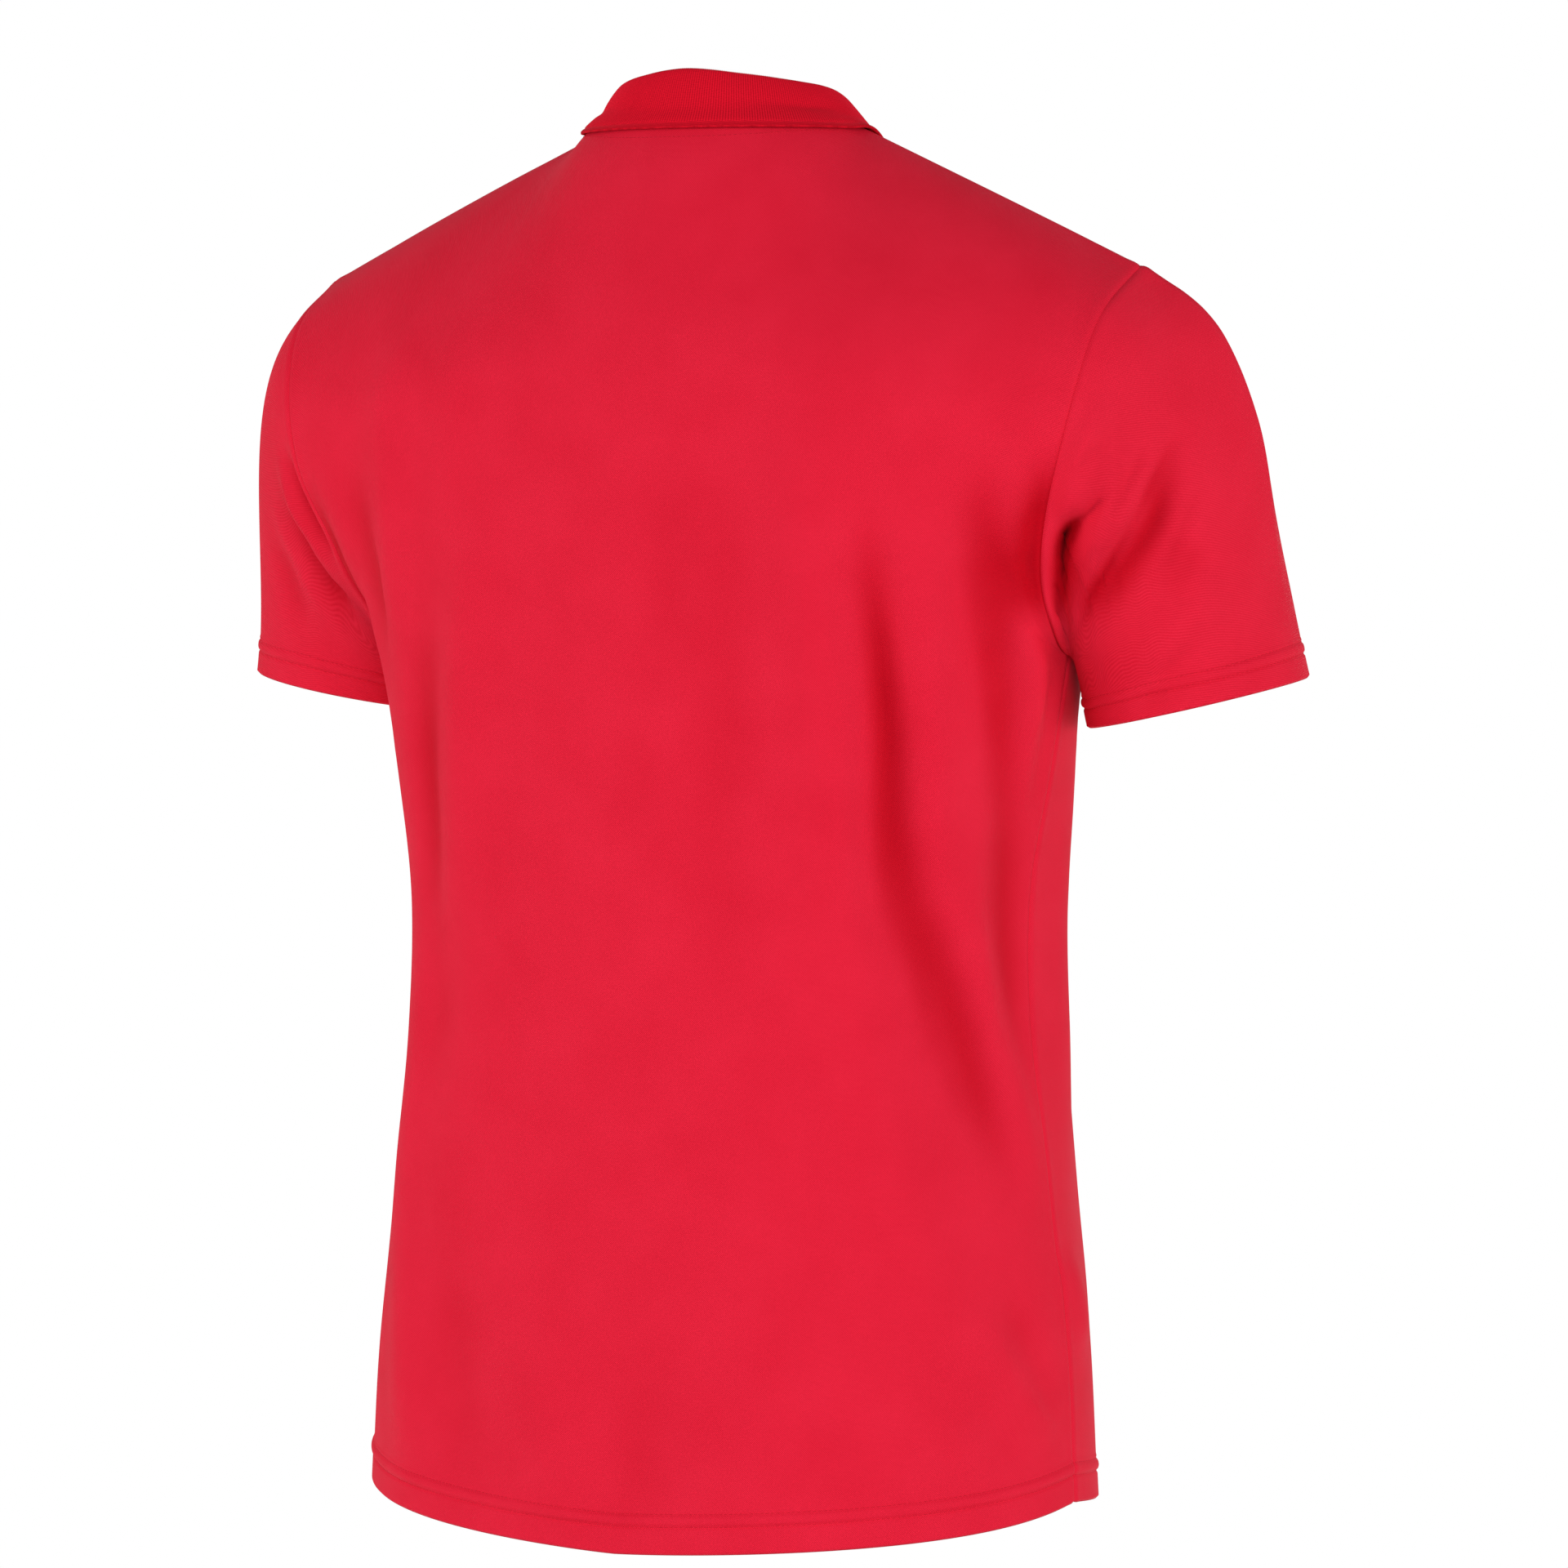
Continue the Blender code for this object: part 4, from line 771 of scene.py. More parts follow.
# %% A cloth wall
RIM_ROUNDING = 0.45  # how far an edge bulges, as a share of its thickness


def grid_normals(points, facing):
    """A grid's normals. facing is 1 where its rows and columns turn the right way for that, else -1."""
    return unit(np.cross(np.gradient(points, axis=1), np.gradient(points, axis=0))) * facing


def lengths(points, axis):
    """How far along each line of a grid its points lie, in metres, counted from the first one."""
    steps = np.linalg.norm(np.diff(points, axis=axis), axis=-1)
    start = np.zeros_like(np.take(steps, [0], axis=axis))
    return np.cumsum(np.concatenate([start, steps], axis=axis), axis=axis)


def flat_places(points, middle_column):
    """Each grid point's place in the flat cloth, in metres."""
    across = lengths(points, 1)
    return joined(across - across[:, [middle_column]], lengths(points, 0))


def boundary(quads):
    """The directed sides of quads that no other quad shares."""
    sides = np.concatenate([quads[:, [k, (k + 1) % 4]] for k in range(4)])
    pairs = joined(sides.min(axis=1), sides.max(axis=1))
    _, place, count = np.unique(pairs, axis=0, return_inverse=True, return_counts=True)
    return sides[count[place.ravel()] == 1]


def placed(name, data):
    """An object in the scene for a mesh, a curve, a lamp or a camera."""
    made = bpy.data.objects.new(name, data)
    bpy.context.scene.collection.objects.link(made)
    return made


def cloth_wall(
    name, middle, n, outside, inside, material, facing=1, closed=False, missing=None, ridge=None
):
    """A wall of cloth on a grid of middle points.

    outside and inside say how far each face lies from the middle. facing is the sign that grid_normals
    took, and a closed grid repeats its first column as its last. The quads marked missing are left out,
    and ridge says for each point how raised it is or how open to the light, which the material turns
    into painted shade in the colour.
    """
    rows, columns = middle.shape[:2]
    outside, inside = (np.broadcast_to(v, (rows, columns)) for v in (outside, inside))
    ids = np.arange(rows * columns).reshape(rows, columns)
    places = flat_places(middle, columns // 2).reshape(-1, 2)
    if closed:
        ids = ids.copy()
        ids[:, -1] = ids[:, 0]
    kept = np.ones((rows - 1, columns - 1), bool) if missing is None else ~missing
    corners = [(0, 0), (0, 1), (1, 1), (1, 0)][::facing]

    def pick(table):
        return np.stack([table[r : rows - 1 + r, c : columns - 1 + c][kept] for r, c in corners], axis=1)

    far = rows * columns
    quads, flat_quads = pick(ids), pick(np.arange(far).reshape(rows, columns))
    upper = (middle + n * outside[..., None]).reshape(-1, 3)
    lower = (middle - n * inside[..., None]).reshape(-1, 3)
    sides = boundary(quads)
    centre = (upper + lower) / 2
    out = np.zeros_like(centre)
    across = np.cross(centre[sides[:, 1]] - centre[sides[:, 0]], n.reshape(-1, 3)[sides[:, 0]])
    for end in (0, 1):
        np.add.at(out, sides[:, end], unit(across))
    thick = np.linalg.norm(upper - lower, axis=-1, keepdims=True)
    rim = centre + unit(out) * thick * RIM_ROUNDING
    points = np.concatenate([upper, lower, rim])
    a, b = sides.T
    above_rim = joined(b, a, a + 2 * far, b + 2 * far)
    below_rim = joined(b + 2 * far, a + 2 * far, a + far, b + far)
    rims = np.concatenate([above_rim, below_rim])
    faces = np.concatenate([quads, quads[:, ::-1] + far, rims])
    used, faces = np.unique(faces, return_inverse=True)
    mesh = bpy.data.meshes.new(name)
    mesh.from_pydata(points[used].tolist(), [], faces.reshape(-1, 4).tolist())
    flat_faces = np.concatenate([flat_quads, flat_quads[:, ::-1], rims % far])
    layer = mesh.uv_layers.new(name="flat_cloth")
    layer.data.foreach_set("uv", places[flat_faces.ravel()].ravel())
    if ridge is not None:
        mark = mesh.attributes.new("ridge", "FLOAT", "POINT")
        mark.data.foreach_set("value", ridge.ravel()[used % far].astype(np.float32))
    mesh.materials.append(material)
    mesh.shade_smooth()
    print(f"{name}: {len(mesh.polygons) * 2} triangles")
    return placed(name, mesh)


# The fold depths at which the painted shade of a hollow, and then that of a crevice, is full.
HOLLOW_DEPTH = 10.0 * MM
CREVICE_DEPTH = 14.0 * MM


def shelter(height):
    """How open each point is to the light: 1 on plain cloth, 0 in a hollow and -1 deep in a crevice."""
    hollow = soft_step(-height / HOLLOW_DEPTH)
    return 1 - hollow - soft_step((-height - HOLLOW_DEPTH) / (CREVICE_DEPTH - HOLLOW_DEPTH))


def dress(piece, node):
    """A piece hides its solid, whose place it takes, and moves with the shirt's one body."""
    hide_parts(node)
    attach(piece, "root")
    return piece


cloths = {}

# %% [markdown]
# ## Knitted cloth
# A fine pique knit is rows of small tucked loops, staggered like bricks. The product of two sine waves
# gives such a field of dots. It drives the bump and, a little, the colour, because the hollows between
# loops are in shade. The pattern reads the flat cloth's own coordinates, so it turns with each panel.

# %% Material helpers
GLOSS_TINT = (1.0, 0.32, 0.48, 1.0)
SHEEN_TINT = (1.0, 0.30, 0.42, 1.0)


class Nodes:
    """A material whose nodes are added and linked by short calls."""

    def __init__(self, name):
        self.material = bpy.data.materials.new(name)
        self.material.use_nodes = True
        self.tree = self.material.node_tree
        self.shader = self.tree.nodes["Principled BSDF"]

    def add(self, kind, inputs=None, **settings):
        node = self.tree.nodes.new(kind)
        for key, value in settings.items():
            setattr(node, key, value)
        for key, value in (inputs or {}).items():
            if isinstance(value, bpy.types.NodeSocket):
                self.tree.links.new(value, node.inputs[key])
            else:
                node.inputs[key].default_value = value
        return node

    def math(self, operation, *values):
        return self.add("ShaderNodeMath", dict(enumerate(values)), operation=operation).outputs[0]

    def mix(self, factor, first, second):
        node = self.add("ShaderNodeMix", {0: factor}, data_type="RGBA")
        for socket, value in zip([s for s in node.inputs if s.type == "RGBA"], (first, second)):
            if isinstance(value, bpy.types.NodeSocket):
                self.tree.links.new(value, socket)
            else:
                socket.default_value = (*value, 1)
        return next(s for s in node.outputs if s.type == "RGBA")

    def link(self, socket, name):
        self.tree.links.new(socket, self.shader.inputs[name])

    def noise(self, place, scale, detail):
        inputs = {"Vector": place, "Scale": scale, "Detail": detail}
        return self.add("ShaderNodeTexNoise", inputs).outputs[0]

    def wave(self, place, pitch):
        return self.math("SINE", self.math("MULTIPLY", place, 2 * math.pi / pitch))

    def bump(self, height, strength, distance):
        inputs = {"Height": height, "Strength": strength, "Distance": distance}
        self.link(self.add("ShaderNodeBump", inputs).outputs[0], "Normal")

    def finish(self, **inputs):
        """Sets the shader's plain inputs, named as there but with _ for each space."""
        for name, value in inputs.items():
            self.shader.inputs[name.replace("_", " ")].default_value = value
        return self.material


def cloth_finish(nodes, roughness, sheen):
    """What all the cloth shares: a soft gloss of its own red, and a paler sheen at its outline."""
    return nodes.finish(
        Roughness=roughness,
        Specular_IOR_Level=0.10,
        Specular_Tint=GLOSS_TINT,
        Sheen_Weight=sheen,
        Sheen_Roughness=0.35,
        Sheen_Tint=SHEEN_TINT,
    )


# %% The jersey
DOT_PITCH = 1.12 * MM
RED_DEEP = (0.560, 0.0014, 0.0125)
RED_BRIGHT = (0.870, 0.0230, 0.0600)
RED_PAINTED_HOLLOW_SHADE = (0.520, 0.0008, 0.0085)  # painted shade, mixed into the colour at the bottom of a fold
# painted shade, far darker, mixed in deep in a crevice
RED_PAINTED_CREVICE_SHADE = (0.130, 0.0004, 0.0020)


def jersey():
    nodes = Nodes("red_jersey_knit")
    place = nodes.add("ShaderNodeUVMap", uv_map="flat_cloth").outputs[0]
    axes = nodes.add("ShaderNodeSeparateXYZ", {0: place}).outputs
    dots = nodes.math("MULTIPLY", *(nodes.wave(axis, DOT_PITCH) for axis in axes[:2]))
    raised = nodes.math("MULTIPLY_ADD", dots, 0.5, 0.5)
    shade, fuzz = nodes.noise(place, 22.0, 3.0), nodes.noise(place, 1500.0, 1.0)
    uneven = nodes.math("MULTIPLY_ADD", shade, 0.35, nodes.math("MULTIPLY_ADD", fuzz, 0.35, -0.35))
    factor = nodes.math("MULTIPLY_ADD", raised, 0.55, uneven)
    clamped = nodes.add("ShaderNodeClamp", {0: nodes.math("ADD", factor, 0.25)}).outputs[0]
    # The ridge attribute says how open each point is to the light, and the colour takes painted shade
    # from it: the hollow red in a fold, the crevice red deeper down.
    open_to_light = nodes.add("ShaderNodeAttribute", attribute_name="ridge").outputs["Fac"]
    knit = nodes.mix(clamped, RED_DEEP, RED_BRIGHT)
    shaded = nodes.mix(open_to_light, RED_PAINTED_HOLLOW_SHADE, knit)
    nodes.link(nodes.mix(nodes.math("ADD", open_to_light, 1.0), RED_PAINTED_CREVICE_SHADE, shaded), "Base Color")
    nodes.bump(nodes.math("MULTIPLY_ADD", fuzz, 0.4, raised), 0.70, 0.20 * MM)
    return cloth_finish(nodes, 0.55, 0.03)


red_jersey = jersey()
print("knit dots", DOT_PITCH / MM, "mm apart")

# %% The rib
COURSE_PITCH = 0.95 * MM
# Painted shade: a rib's grooves take the dark red and its crests the light one.
RIB_SHADED_GROOVE, RIB_LIT_CREST = (0.24, 0.0004, 0.0036), (0.84, 0.0070, 0.0260)


def rib_knit():
    """The collar's ribs are modelled. The material adds the rows of loops across them, paints shade into
    the grooves between the ribs and darkens the selvedge towards the leaf's edge.
    """
    nodes = Nodes("red_rib_knit")
    place = nodes.add("ShaderNodeUVMap", uv_map="flat_cloth").outputs[0]
    up = nodes.add("ShaderNodeSeparateXYZ", {0: place}).outputs[1]
    courses, fuzz = nodes.wave(up, COURSE_PITCH), nodes.noise(place, 1300.0, 1.0)
    factor = nodes.math("MULTIPLY_ADD", courses, 0.10, nodes.math("MULTIPLY_ADD", fuzz, 0.5, 0.20))
    # How raised each point is sets the rib's painted light and shade.
    ridge = nodes.add("ShaderNodeAttribute", attribute_name="ridge").outputs["Fac"]
    toned = nodes.math("MULTIPLY_ADD", ridge, 0.62, factor)
    clamped = nodes.add("ShaderNodeClamp", {0: toned}).outputs[0]
    nodes.link(nodes.mix(clamped, RIB_SHADED_GROOVE, RIB_LIT_CREST), "Base Color")
    nodes.bump(nodes.math("MULTIPLY_ADD", fuzz, 0.5, courses), 0.4, 0.12 * MM)
    return cloth_finish(nodes, 0.75, 0.06)


red_rib = rib_knit()


# %% Thread and buttons
THREAD_DARK, THREAD_LIGHT = (0.42, 0.003, 0.012), (0.68, 0.018, 0.040)
BUTTON_DARK, BUTTON_LIGHT = (0.40, 0.006, 0.018), (0.54, 0.012, 0.030)


def thread():
    nodes = Nodes("red_thread")
    place = nodes.add("ShaderNodeTexCoord").outputs["Object"]
    nodes.link(nodes.mix(nodes.noise(place, 2600.0, 1.0), THREAD_DARK, THREAD_LIGHT), "Base Color")
    return cloth_finish(nodes, 0.55, 0.15)


def dyed_button():
    nodes = Nodes("red_button_dyed")
    place = nodes.add("ShaderNodeTexCoord").outputs["Object"]
    nodes.link(nodes.mix(nodes.noise(place, 260.0, 2.0), BUTTON_DARK, BUTTON_LIGHT), "Base Color")
    nodes.bump(nodes.noise(place, 2400.0, 2.0), 0.15, 0.04 * MM)
    return nodes.finish(Roughness=0.34)


red_thread, red_button = thread(), dyed_button()
print("materials:", ", ".join(m.name for m in (red_jersey, red_rib, red_thread, red_button)))

# %% [markdown]
# ## Hems and seams
# A turned-up hem is held by two needle lines 6.5 mm apart. Between them the cloth puffs up into a small
# welt, and each line draws it in. Where two panels meet, both dip into the seam, and the seam allowance
# inside lifts the cloth a little beside it. All of it is worked out from the distance to the edge.

# %% Relief near an edge
NEEDLE_LOW = 13.0 * MM
NEEDLE_GAP = 6.5 * MM
NEEDLE_HIGH = NEEDLE_LOW + NEEDLE_GAP
WALL = 0.6 * MM  # from the middle of the cloth to each face
INSET = 0.1 * MM  # how far inside its solid's faces the collar or a placket band is drawn
HEM_END_OUT, HEM_END_IN = 2.2 * MM, 1.0 * MM  # how wide the step is where the hem's layer ends
# How deep each line dips or how far it swells, and how far to each side
LOW_LINE, LOW_WIDTH = 0.75 * MM, 0.9 * MM
HIGH_LINE, HIGH_WIDTH = 0.55 * MM, 0.8 * MM
SEAM_DIP, SEAM_WIDTH = 0.75 * MM, 1.3 * MM
ALLOWANCE, ALLOWANCE_WIDTH, ALLOWANCE_AT = 0.30 * MM, 2.6 * MM, 4.5 * MM
WELT = 1.25  # how high the welt between the two needle lines stands, beside the swelling that puff gives
PUFF = 0.85  # millimetres, which the waves of puff are multiplied by


def hem_relief(height, swelling):
    """How much further out a hem's face lies, height metres above its edge."""
    layer = HEM_EXTRA / 2 * (1 - soft_step((height - HEM_DEPTH) / HEM_END_OUT))
    welt = WELT * swelling * np.sin(np.pi * np.clip((height - NEEDLE_LOW) / NEEDLE_GAP, 0, 1))
    low = LOW_LINE * bell(height - NEEDLE_LOW, LOW_WIDTH)
    high = HIGH_LINE * bell(height - NEEDLE_HIGH, HIGH_WIDTH)
    return layer + welt - low - high


def hem_inside(height):
    """The turned-up layer inside, which ends in a step."""
    return HEM_EXTRA * (1 - soft_step((height - HEM_DEPTH) / HEM_END_IN))


def seam_relief(distance):
    """The dip into a seam, and the soft swelling beside it."""
    dip = SEAM_DIP * bell(distance, SEAM_WIDTH)
    return ALLOWANCE * bell(distance - ALLOWANCE_AT, ALLOWANCE_WIDTH) - dip


def puff(u):
    """How far the cloth between the needle lines swells u metres along a hem: waves of three lengths."""
    return (0.75 + 0.25 * np.sin(u * 41) * np.sin(u * 17 + 1) + 0.15 * np.sin(u * 97 + 2)) * PUFF * MM


print(f"needle lines at {NEEDLE_LOW / MM:.1f} and {NEEDLE_HIGH / MM:.1f} mm above the edge")

# %% [markdown]
# ## The body
# The grid is fine where something small happens, at the hem and by the seams, and about 4 mm elsewhere.

# %% Body grids
PANEL_HEIGHT = 0.74  # metres for the whole of up, near enough for distances by an edge
PANEL_HALF = 0.28
NEAR_EDGE = np.array([0.0, 0.8, 1.7, 2.9, 4.4, 6.4, 9.0]) * MM
HEM_STEP = 0.65 * MM  # the needle lines lie on rows of the grid
BODY_ROWS, BODY_COLUMNS = 158, 62
NOTCH_COLUMNS = 5
NOTCH_SHARE = 0.08  # of the front panel's half, taken up by the columns over the notch
BELOW_END = 0.999  # distances across are read no higher than this, as a panel stops at 1


def finer_end(start, end, count, scale):
    """Values from start to end, with NEAR_EDGE's steps before the end."""
    last = end - NEAR_EDGE[::-1] / scale
    return np.concatenate([[start], np.linspace(start, last[0], count)[1:-1], last])


hem_rows = np.arange(0, 1.25 * HEM_DEPTH, HEM_STEP) / PANEL_HEIGHT
above = finer_end(hem_rows[-1] + 1.5 * MM / PANEL_HEIGHT, 1.0, BODY_ROWS, PANEL_HEIGHT)
body_up = np.sort(np.append(np.concatenate([hem_rows, above]), PLACKET_UP))
half_across = finer_end(0.0, 1.0, BODY_COLUMNS, PANEL_HALF)


def across_at(side, metres, up):
    """How far across a panel a point lies that is so many metres from its middle line."""
    step = 0.02
    away = smooth_panel(side, np.full_like(up, step), up) - smooth_panel(side, np.zeros_like(up), up)
    return metres * step / np.linalg.norm(away, axis=-1)


def body_grid(side):
    """The (across, up) of a panel's grid. The front has a column on each bank of the placket's notch."""
    half = np.repeat(half_across[None], len(body_up), axis=0)
    if side < 0:
        bank = across_at(-1, NOTCH_HALF_WIDTH, np.minimum(body_up, BELOW_END))[:, None]
        share = np.linspace(0, 1, NOTCH_COLUMNS + 1)[None]
        beyond = (half_across[None, half_across > NOTCH_SHARE] - NOTCH_SHARE) / (1 - NOTCH_SHARE)
        half = np.concatenate([bank * share, bank + (1 - bank) * beyond], axis=1)
    across = np.concatenate([-half[:, :0:-1], half], axis=1)
    return across, np.repeat(body_up[:, None], across.shape[1], axis=1)


def body_relief(side, across, up, points):
    """How much further out a panel's face lies than the plain wall: the hem and the seams."""
    u = lengths(points, 1)
    by_side = (1 - np.abs(across)) * PANEL_HALF
    by_top = (1 - up) * PANEL_HEIGHT
    by_hem = hem_relief(up * PANEL_HEIGHT, puff(u + 0.3 * side))
    return by_hem + seam_relief(by_side) + seam_relief(by_top)


panels, panel_n, faces_out = {}, {}, {}
for side, name in ((1, "back"), (-1, "front")):
    across, up = body_grid(side)
    panels[name] = panel(side, across, up)
    panel_n[name] = grid_normals(panels[name], -side)
    outside = WALL + body_relief(side, across, up, panels[name])
    missing = None
    if side < 0:
        middle = across.shape[1] // 2
        missing = np.zeros((len(body_up) - 1, across.shape[1] - 1), bool)
        notch = slice(middle - NOTCH_COLUMNS, middle + NOTCH_COLUMNS)
        missing[body_up[:-1] >= PLACKET_UP - 1e-9, notch] = True
    inside = WALL + hem_inside(up * PANEL_HEIGHT)
    faces_out[name] = panels[name] + panel_n[name] * outside[..., None]
    plain = smooth_panel(side, across, up)
    # How open each point is to the light, by its folds: the jersey paints shade into its colour from
    # this.
    light = shelter(fold_height("back", plain) + fold_height("front", plain))
    cloth = cloth_wall(
        f"{name}_cloth", panels[name], panel_n[name], outside, inside, red_jersey,
        facing=-side, missing=missing, ridge=light,
    )
    cloths[name] = dress(cloth, name)

# %% [markdown]
# ## The sleeves
# Each sleeve is a tube of cloth. Its grid goes once round and repeats its first line as its last, so the
# knit pattern has a place for the underarm seam to be.

# %% Sleeve grids
SLEEVE_ROUND, SLEEVE_DOWN = 168, 78
SLEEVE_WELT = 0.7  # a cuff's swelling beside the hem's
CUFF_ROWS = np.arange(0, 1.2 * HEM_DEPTH, HEM_STEP)[::-1]


def sleeve_points(hand):
    """A sleeve's grid, with rows a set distance above its edge near the cuff.

    Also how far each point is from the armhole and from the cuff, and how open it is to the light.
    """
    turn = np.linspace(0, 1, SLEEVE_ROUND + 1)
    rough = sleeve(hand, *np.meshgrid(turn, np.linspace(0, 1, 40)))
    long = lengths(rough, 0)[-1]
    near = NEAR_EDGE[None] / long[:, None]
    cuff_rows = 1 - CUFF_ROWS[None] / long[:, None]
    between = np.linspace(0, 1, SLEEVE_DOWN)[None, 1:-1]
    between = near[:, -1:] * (1 - between) + cuff_rows[:, :1] * between
    down = np.concatenate([near, between, cuff_rows], axis=1).T
    turn_grid = np.repeat(turn[None], len(down), axis=0)
    plain = smooth_sleeve(hand, turn_grid, down) * [hand, 1, 1]
    height = fold_height("left sleeve" if hand > 0 else "right sleeve", plain)
    # How open each point is to the light, by its folds: the jersey paints shade into its colour from
    # this.
    light = shelter(height * soft_step(down / SLEEVE_FADE))
    return sleeve(hand, turn_grid, down), down * long[None], (1 - down) * long[None], light


for hand, name in ((1, "left"), (-1, "right")):
    points, from_seam, from_cuff, light = sleeve_points(hand)
    wide = np.concatenate([points[:, -2:-1], points, points[:, 1:2]], axis=1)
    n = grid_normals(wide, hand)[:, 1:-1]
    by_cuff = hem_relief(from_cuff, SLEEVE_WELT * puff(lengths(points, 1)))
    outside = WALL + by_cuff + seam_relief(from_seam)
    inside = WALL + hem_inside(from_cuff)
    faces_out[f"sleeve_{name}"] = points + n * outside[..., None]
    cloth = cloth_wall(
        f"sleeve_{name}_cloth", points, n, outside, inside, red_jersey,
        facing=hand, closed=True, ridge=light,
    )
    cloths[f"sleeve_{name}"] = dress(cloth, f"sleeve_{name}")

# %% [markdown]
# ## The collar
# The strip is knitted in ribs, one loop to the front and one to the back. At this size each rib can be
# real: every second line of the grid stands proud. The leaf has to lie on the shoulders without going
# into them, so a coarse grid is first pushed clear, and the fine one is drawn through it.

# %% Laying the leaf on the shoulders
COLLAR_COLUMNS, COLLAR_ROWS = 31, 46
RIBS = 340
RIB_HEIGHT = 0.22 * MM
SELVEDGE = 2.6 * MM  # how wide the plain edge is
SELVEDGE_RISE, SELVEDGE_AT, SELVEDGE_WIDTH = 0.10 * MM, 0.8 * MM, 1.1 * MM
GROOVE, GROOVE_WIDTH = 0.25 * MM, 0.5 * MM  # between the ribs and the selvedge
EDGE_ROWS = np.array([0.62, 0.5, 0.42, 0.34, 0.26, 0.2, 0.14, 0.07, 0.0])  # counted back from the edge
PLACKET_ACROSS = [-0.075, -0.03, 0.03, 0.075]  # columns of the front over which the placket lies
BELOW_TOP = 0.99  # normals of a panel with its folds are read no higher than this


def panel_tree():
    """The panels' outer faces and the placket's, for laying the leaf on."""
    points, faces = [], []
    grids = [(panels[name] + panel_n[name] * JERSEY / 2, name == "back") for name in ("back", "front")]
    across, up = np.meshgrid(PLACKET_ACROSS, np.linspace(0.7, 1, 9))
    n = normals(lambda a, b: panel(-1, a, b), across, np.minimum(up, BELOW_TOP))
    grids.append((panel(-1, across, up) + n * (JERSEY / 2 + LAP_GAP + BAND), False))
    for grid, flip in grids:
        first, (rows, columns) = len(points), grid.shape[:2]
        points.extend(map(tuple, grid.reshape(-1, 3)))
        for r in range(rows - 1):
            for c in range(columns - 1):
                a = first + r * columns + c
                quad = (a, a + 1, a + columns + 1, a + columns)
                faces.append(quad[::-1] if flip else quad)
    return BVHTree.FromPolygons(points, faces)


def laid_collar():
    """The collar's coarse grid, its leaf pushed clear of what it lies on."""
    end = math.radians(COLLAR_END_DEG)
    grid = collar_grid(np.linspace(-end, end, COLLAR_COLUMNS))
    tree = panel_tree()
    for r in range(STAND_ROWS + ROLL_ROWS + 2, grid.shape[0]):
        for c in range(grid.shape[1]):
            near, n, _, _ = tree.find_nearest(Vector(grid[r, c]))
            short = RIB / 2 + LEAF_CLEAR - (Vector(grid[r, c]) - near).dot(n)
            if short > 0:
                grid[r, c] += np.array(n) * short
    return grid


def finer(grid, rows, columns):
    """A smooth grid through a coarse one, at the given rows and columns of it."""
    high, wide = grid.shape[:2]
    across = smooth_rows(np.arange(wide), np.swapaxes(grid, 0, 1).reshape(wide, -1), columns)
    across = np.swapaxes(across.reshape(len(columns), high, 3), 0, 1)
    found = smooth_rows(np.arange(high), across.reshape(high, -1), rows)
    return found.reshape(len(rows), len(columns), 3)


# %% Ribs and selvedge
coarse = laid_collar()
columns = np.linspace(0, coarse.shape[1] - 1, 2 * RIBS + 1)
edge_rows = coarse.shape[0] - 1 - EDGE_ROWS
rows = np.concatenate([np.linspace(0, edge_rows[0], COLLAR_ROWS)[:-1], edge_rows])
collar = finer(coarse, rows, columns)
collar_n = grid_normals(collar, -1)
from_edge = lengths(collar[::-1], 0)[::-1]
every_second = np.where(np.arange(len(columns)) % 2 == 0, 1.0, -1.0)[None]
ridge = every_second * soft_step((from_edge - SELVEDGE) / MM)
selvedge = SELVEDGE_RISE * bell(from_edge - SELVEDGE_AT, SELVEDGE_WIDTH)
groove = GROOVE * bell(from_edge - SELVEDGE, GROOVE_WIDTH)
face = RIB / 2 - INSET + RIB_HEIGHT * ridge + selvedge - groove
# How raised each point is. The rib material paints the crests lighter and the grooves darker as shade,
# darker still towards the leaf's edge.
raised = (ridge + 1) / 2 * soft_step(from_edge / SELVEDGE)
collar_cloth = cloth_wall("collar_rib", collar, collar_n, face, face, red_rib, -1, ridge=raised)
cloths["collar"] = dress(collar_cloth, "collar")

# %% [markdown]
# ## The placket
# The opening down the chest is a notch in the front with a band on each bank, left over right. The upper
# band is folded cloth, so its edges are round, and a line of stitches 2 mm inside draws each one in.

# %% Bands
BAND_ROWS = 150
EDGE_STITCH = 2.0 * MM
BAND_EDGE = np.array([0.0, 0.4, 0.9, 1.5, 2.0, 2.5, 3.2, 4.5]) * MM
BAND_BELOW, BAND_TOP = 0.008, 0.990  # of the front panel, under the notch and up to the collar
UNDER_ABOVE = 0.006  # of the front panel, from the notch's end to that of the band underneath
BAND_SINK, BAND_SINK_WIDTH = 0.30 * MM, 0.6 * MM  # where a line of stitches draws the band in
BAND_ROUNDING = 0.12 * MM  # how much thinner a band is at its edge
TOP_OUT = JERSEY / 2 + LAP_GAP + BAND / 2
UNDER_OUT = TOP_OUT - BAND - LAP_GAP


def front_face(metres, up, out):
    """Points so far left of the front's middle line, and their normals, lifted by out."""
    up = np.minimum(up, BELOW_END)
    across = metres * across_at(-1, 1.0, up)
    n = normals(lambda a, b: panel(-1, a, b), across, np.minimum(up, BELOW_TOP))
    return panel(-1, across, up) + n * out, n


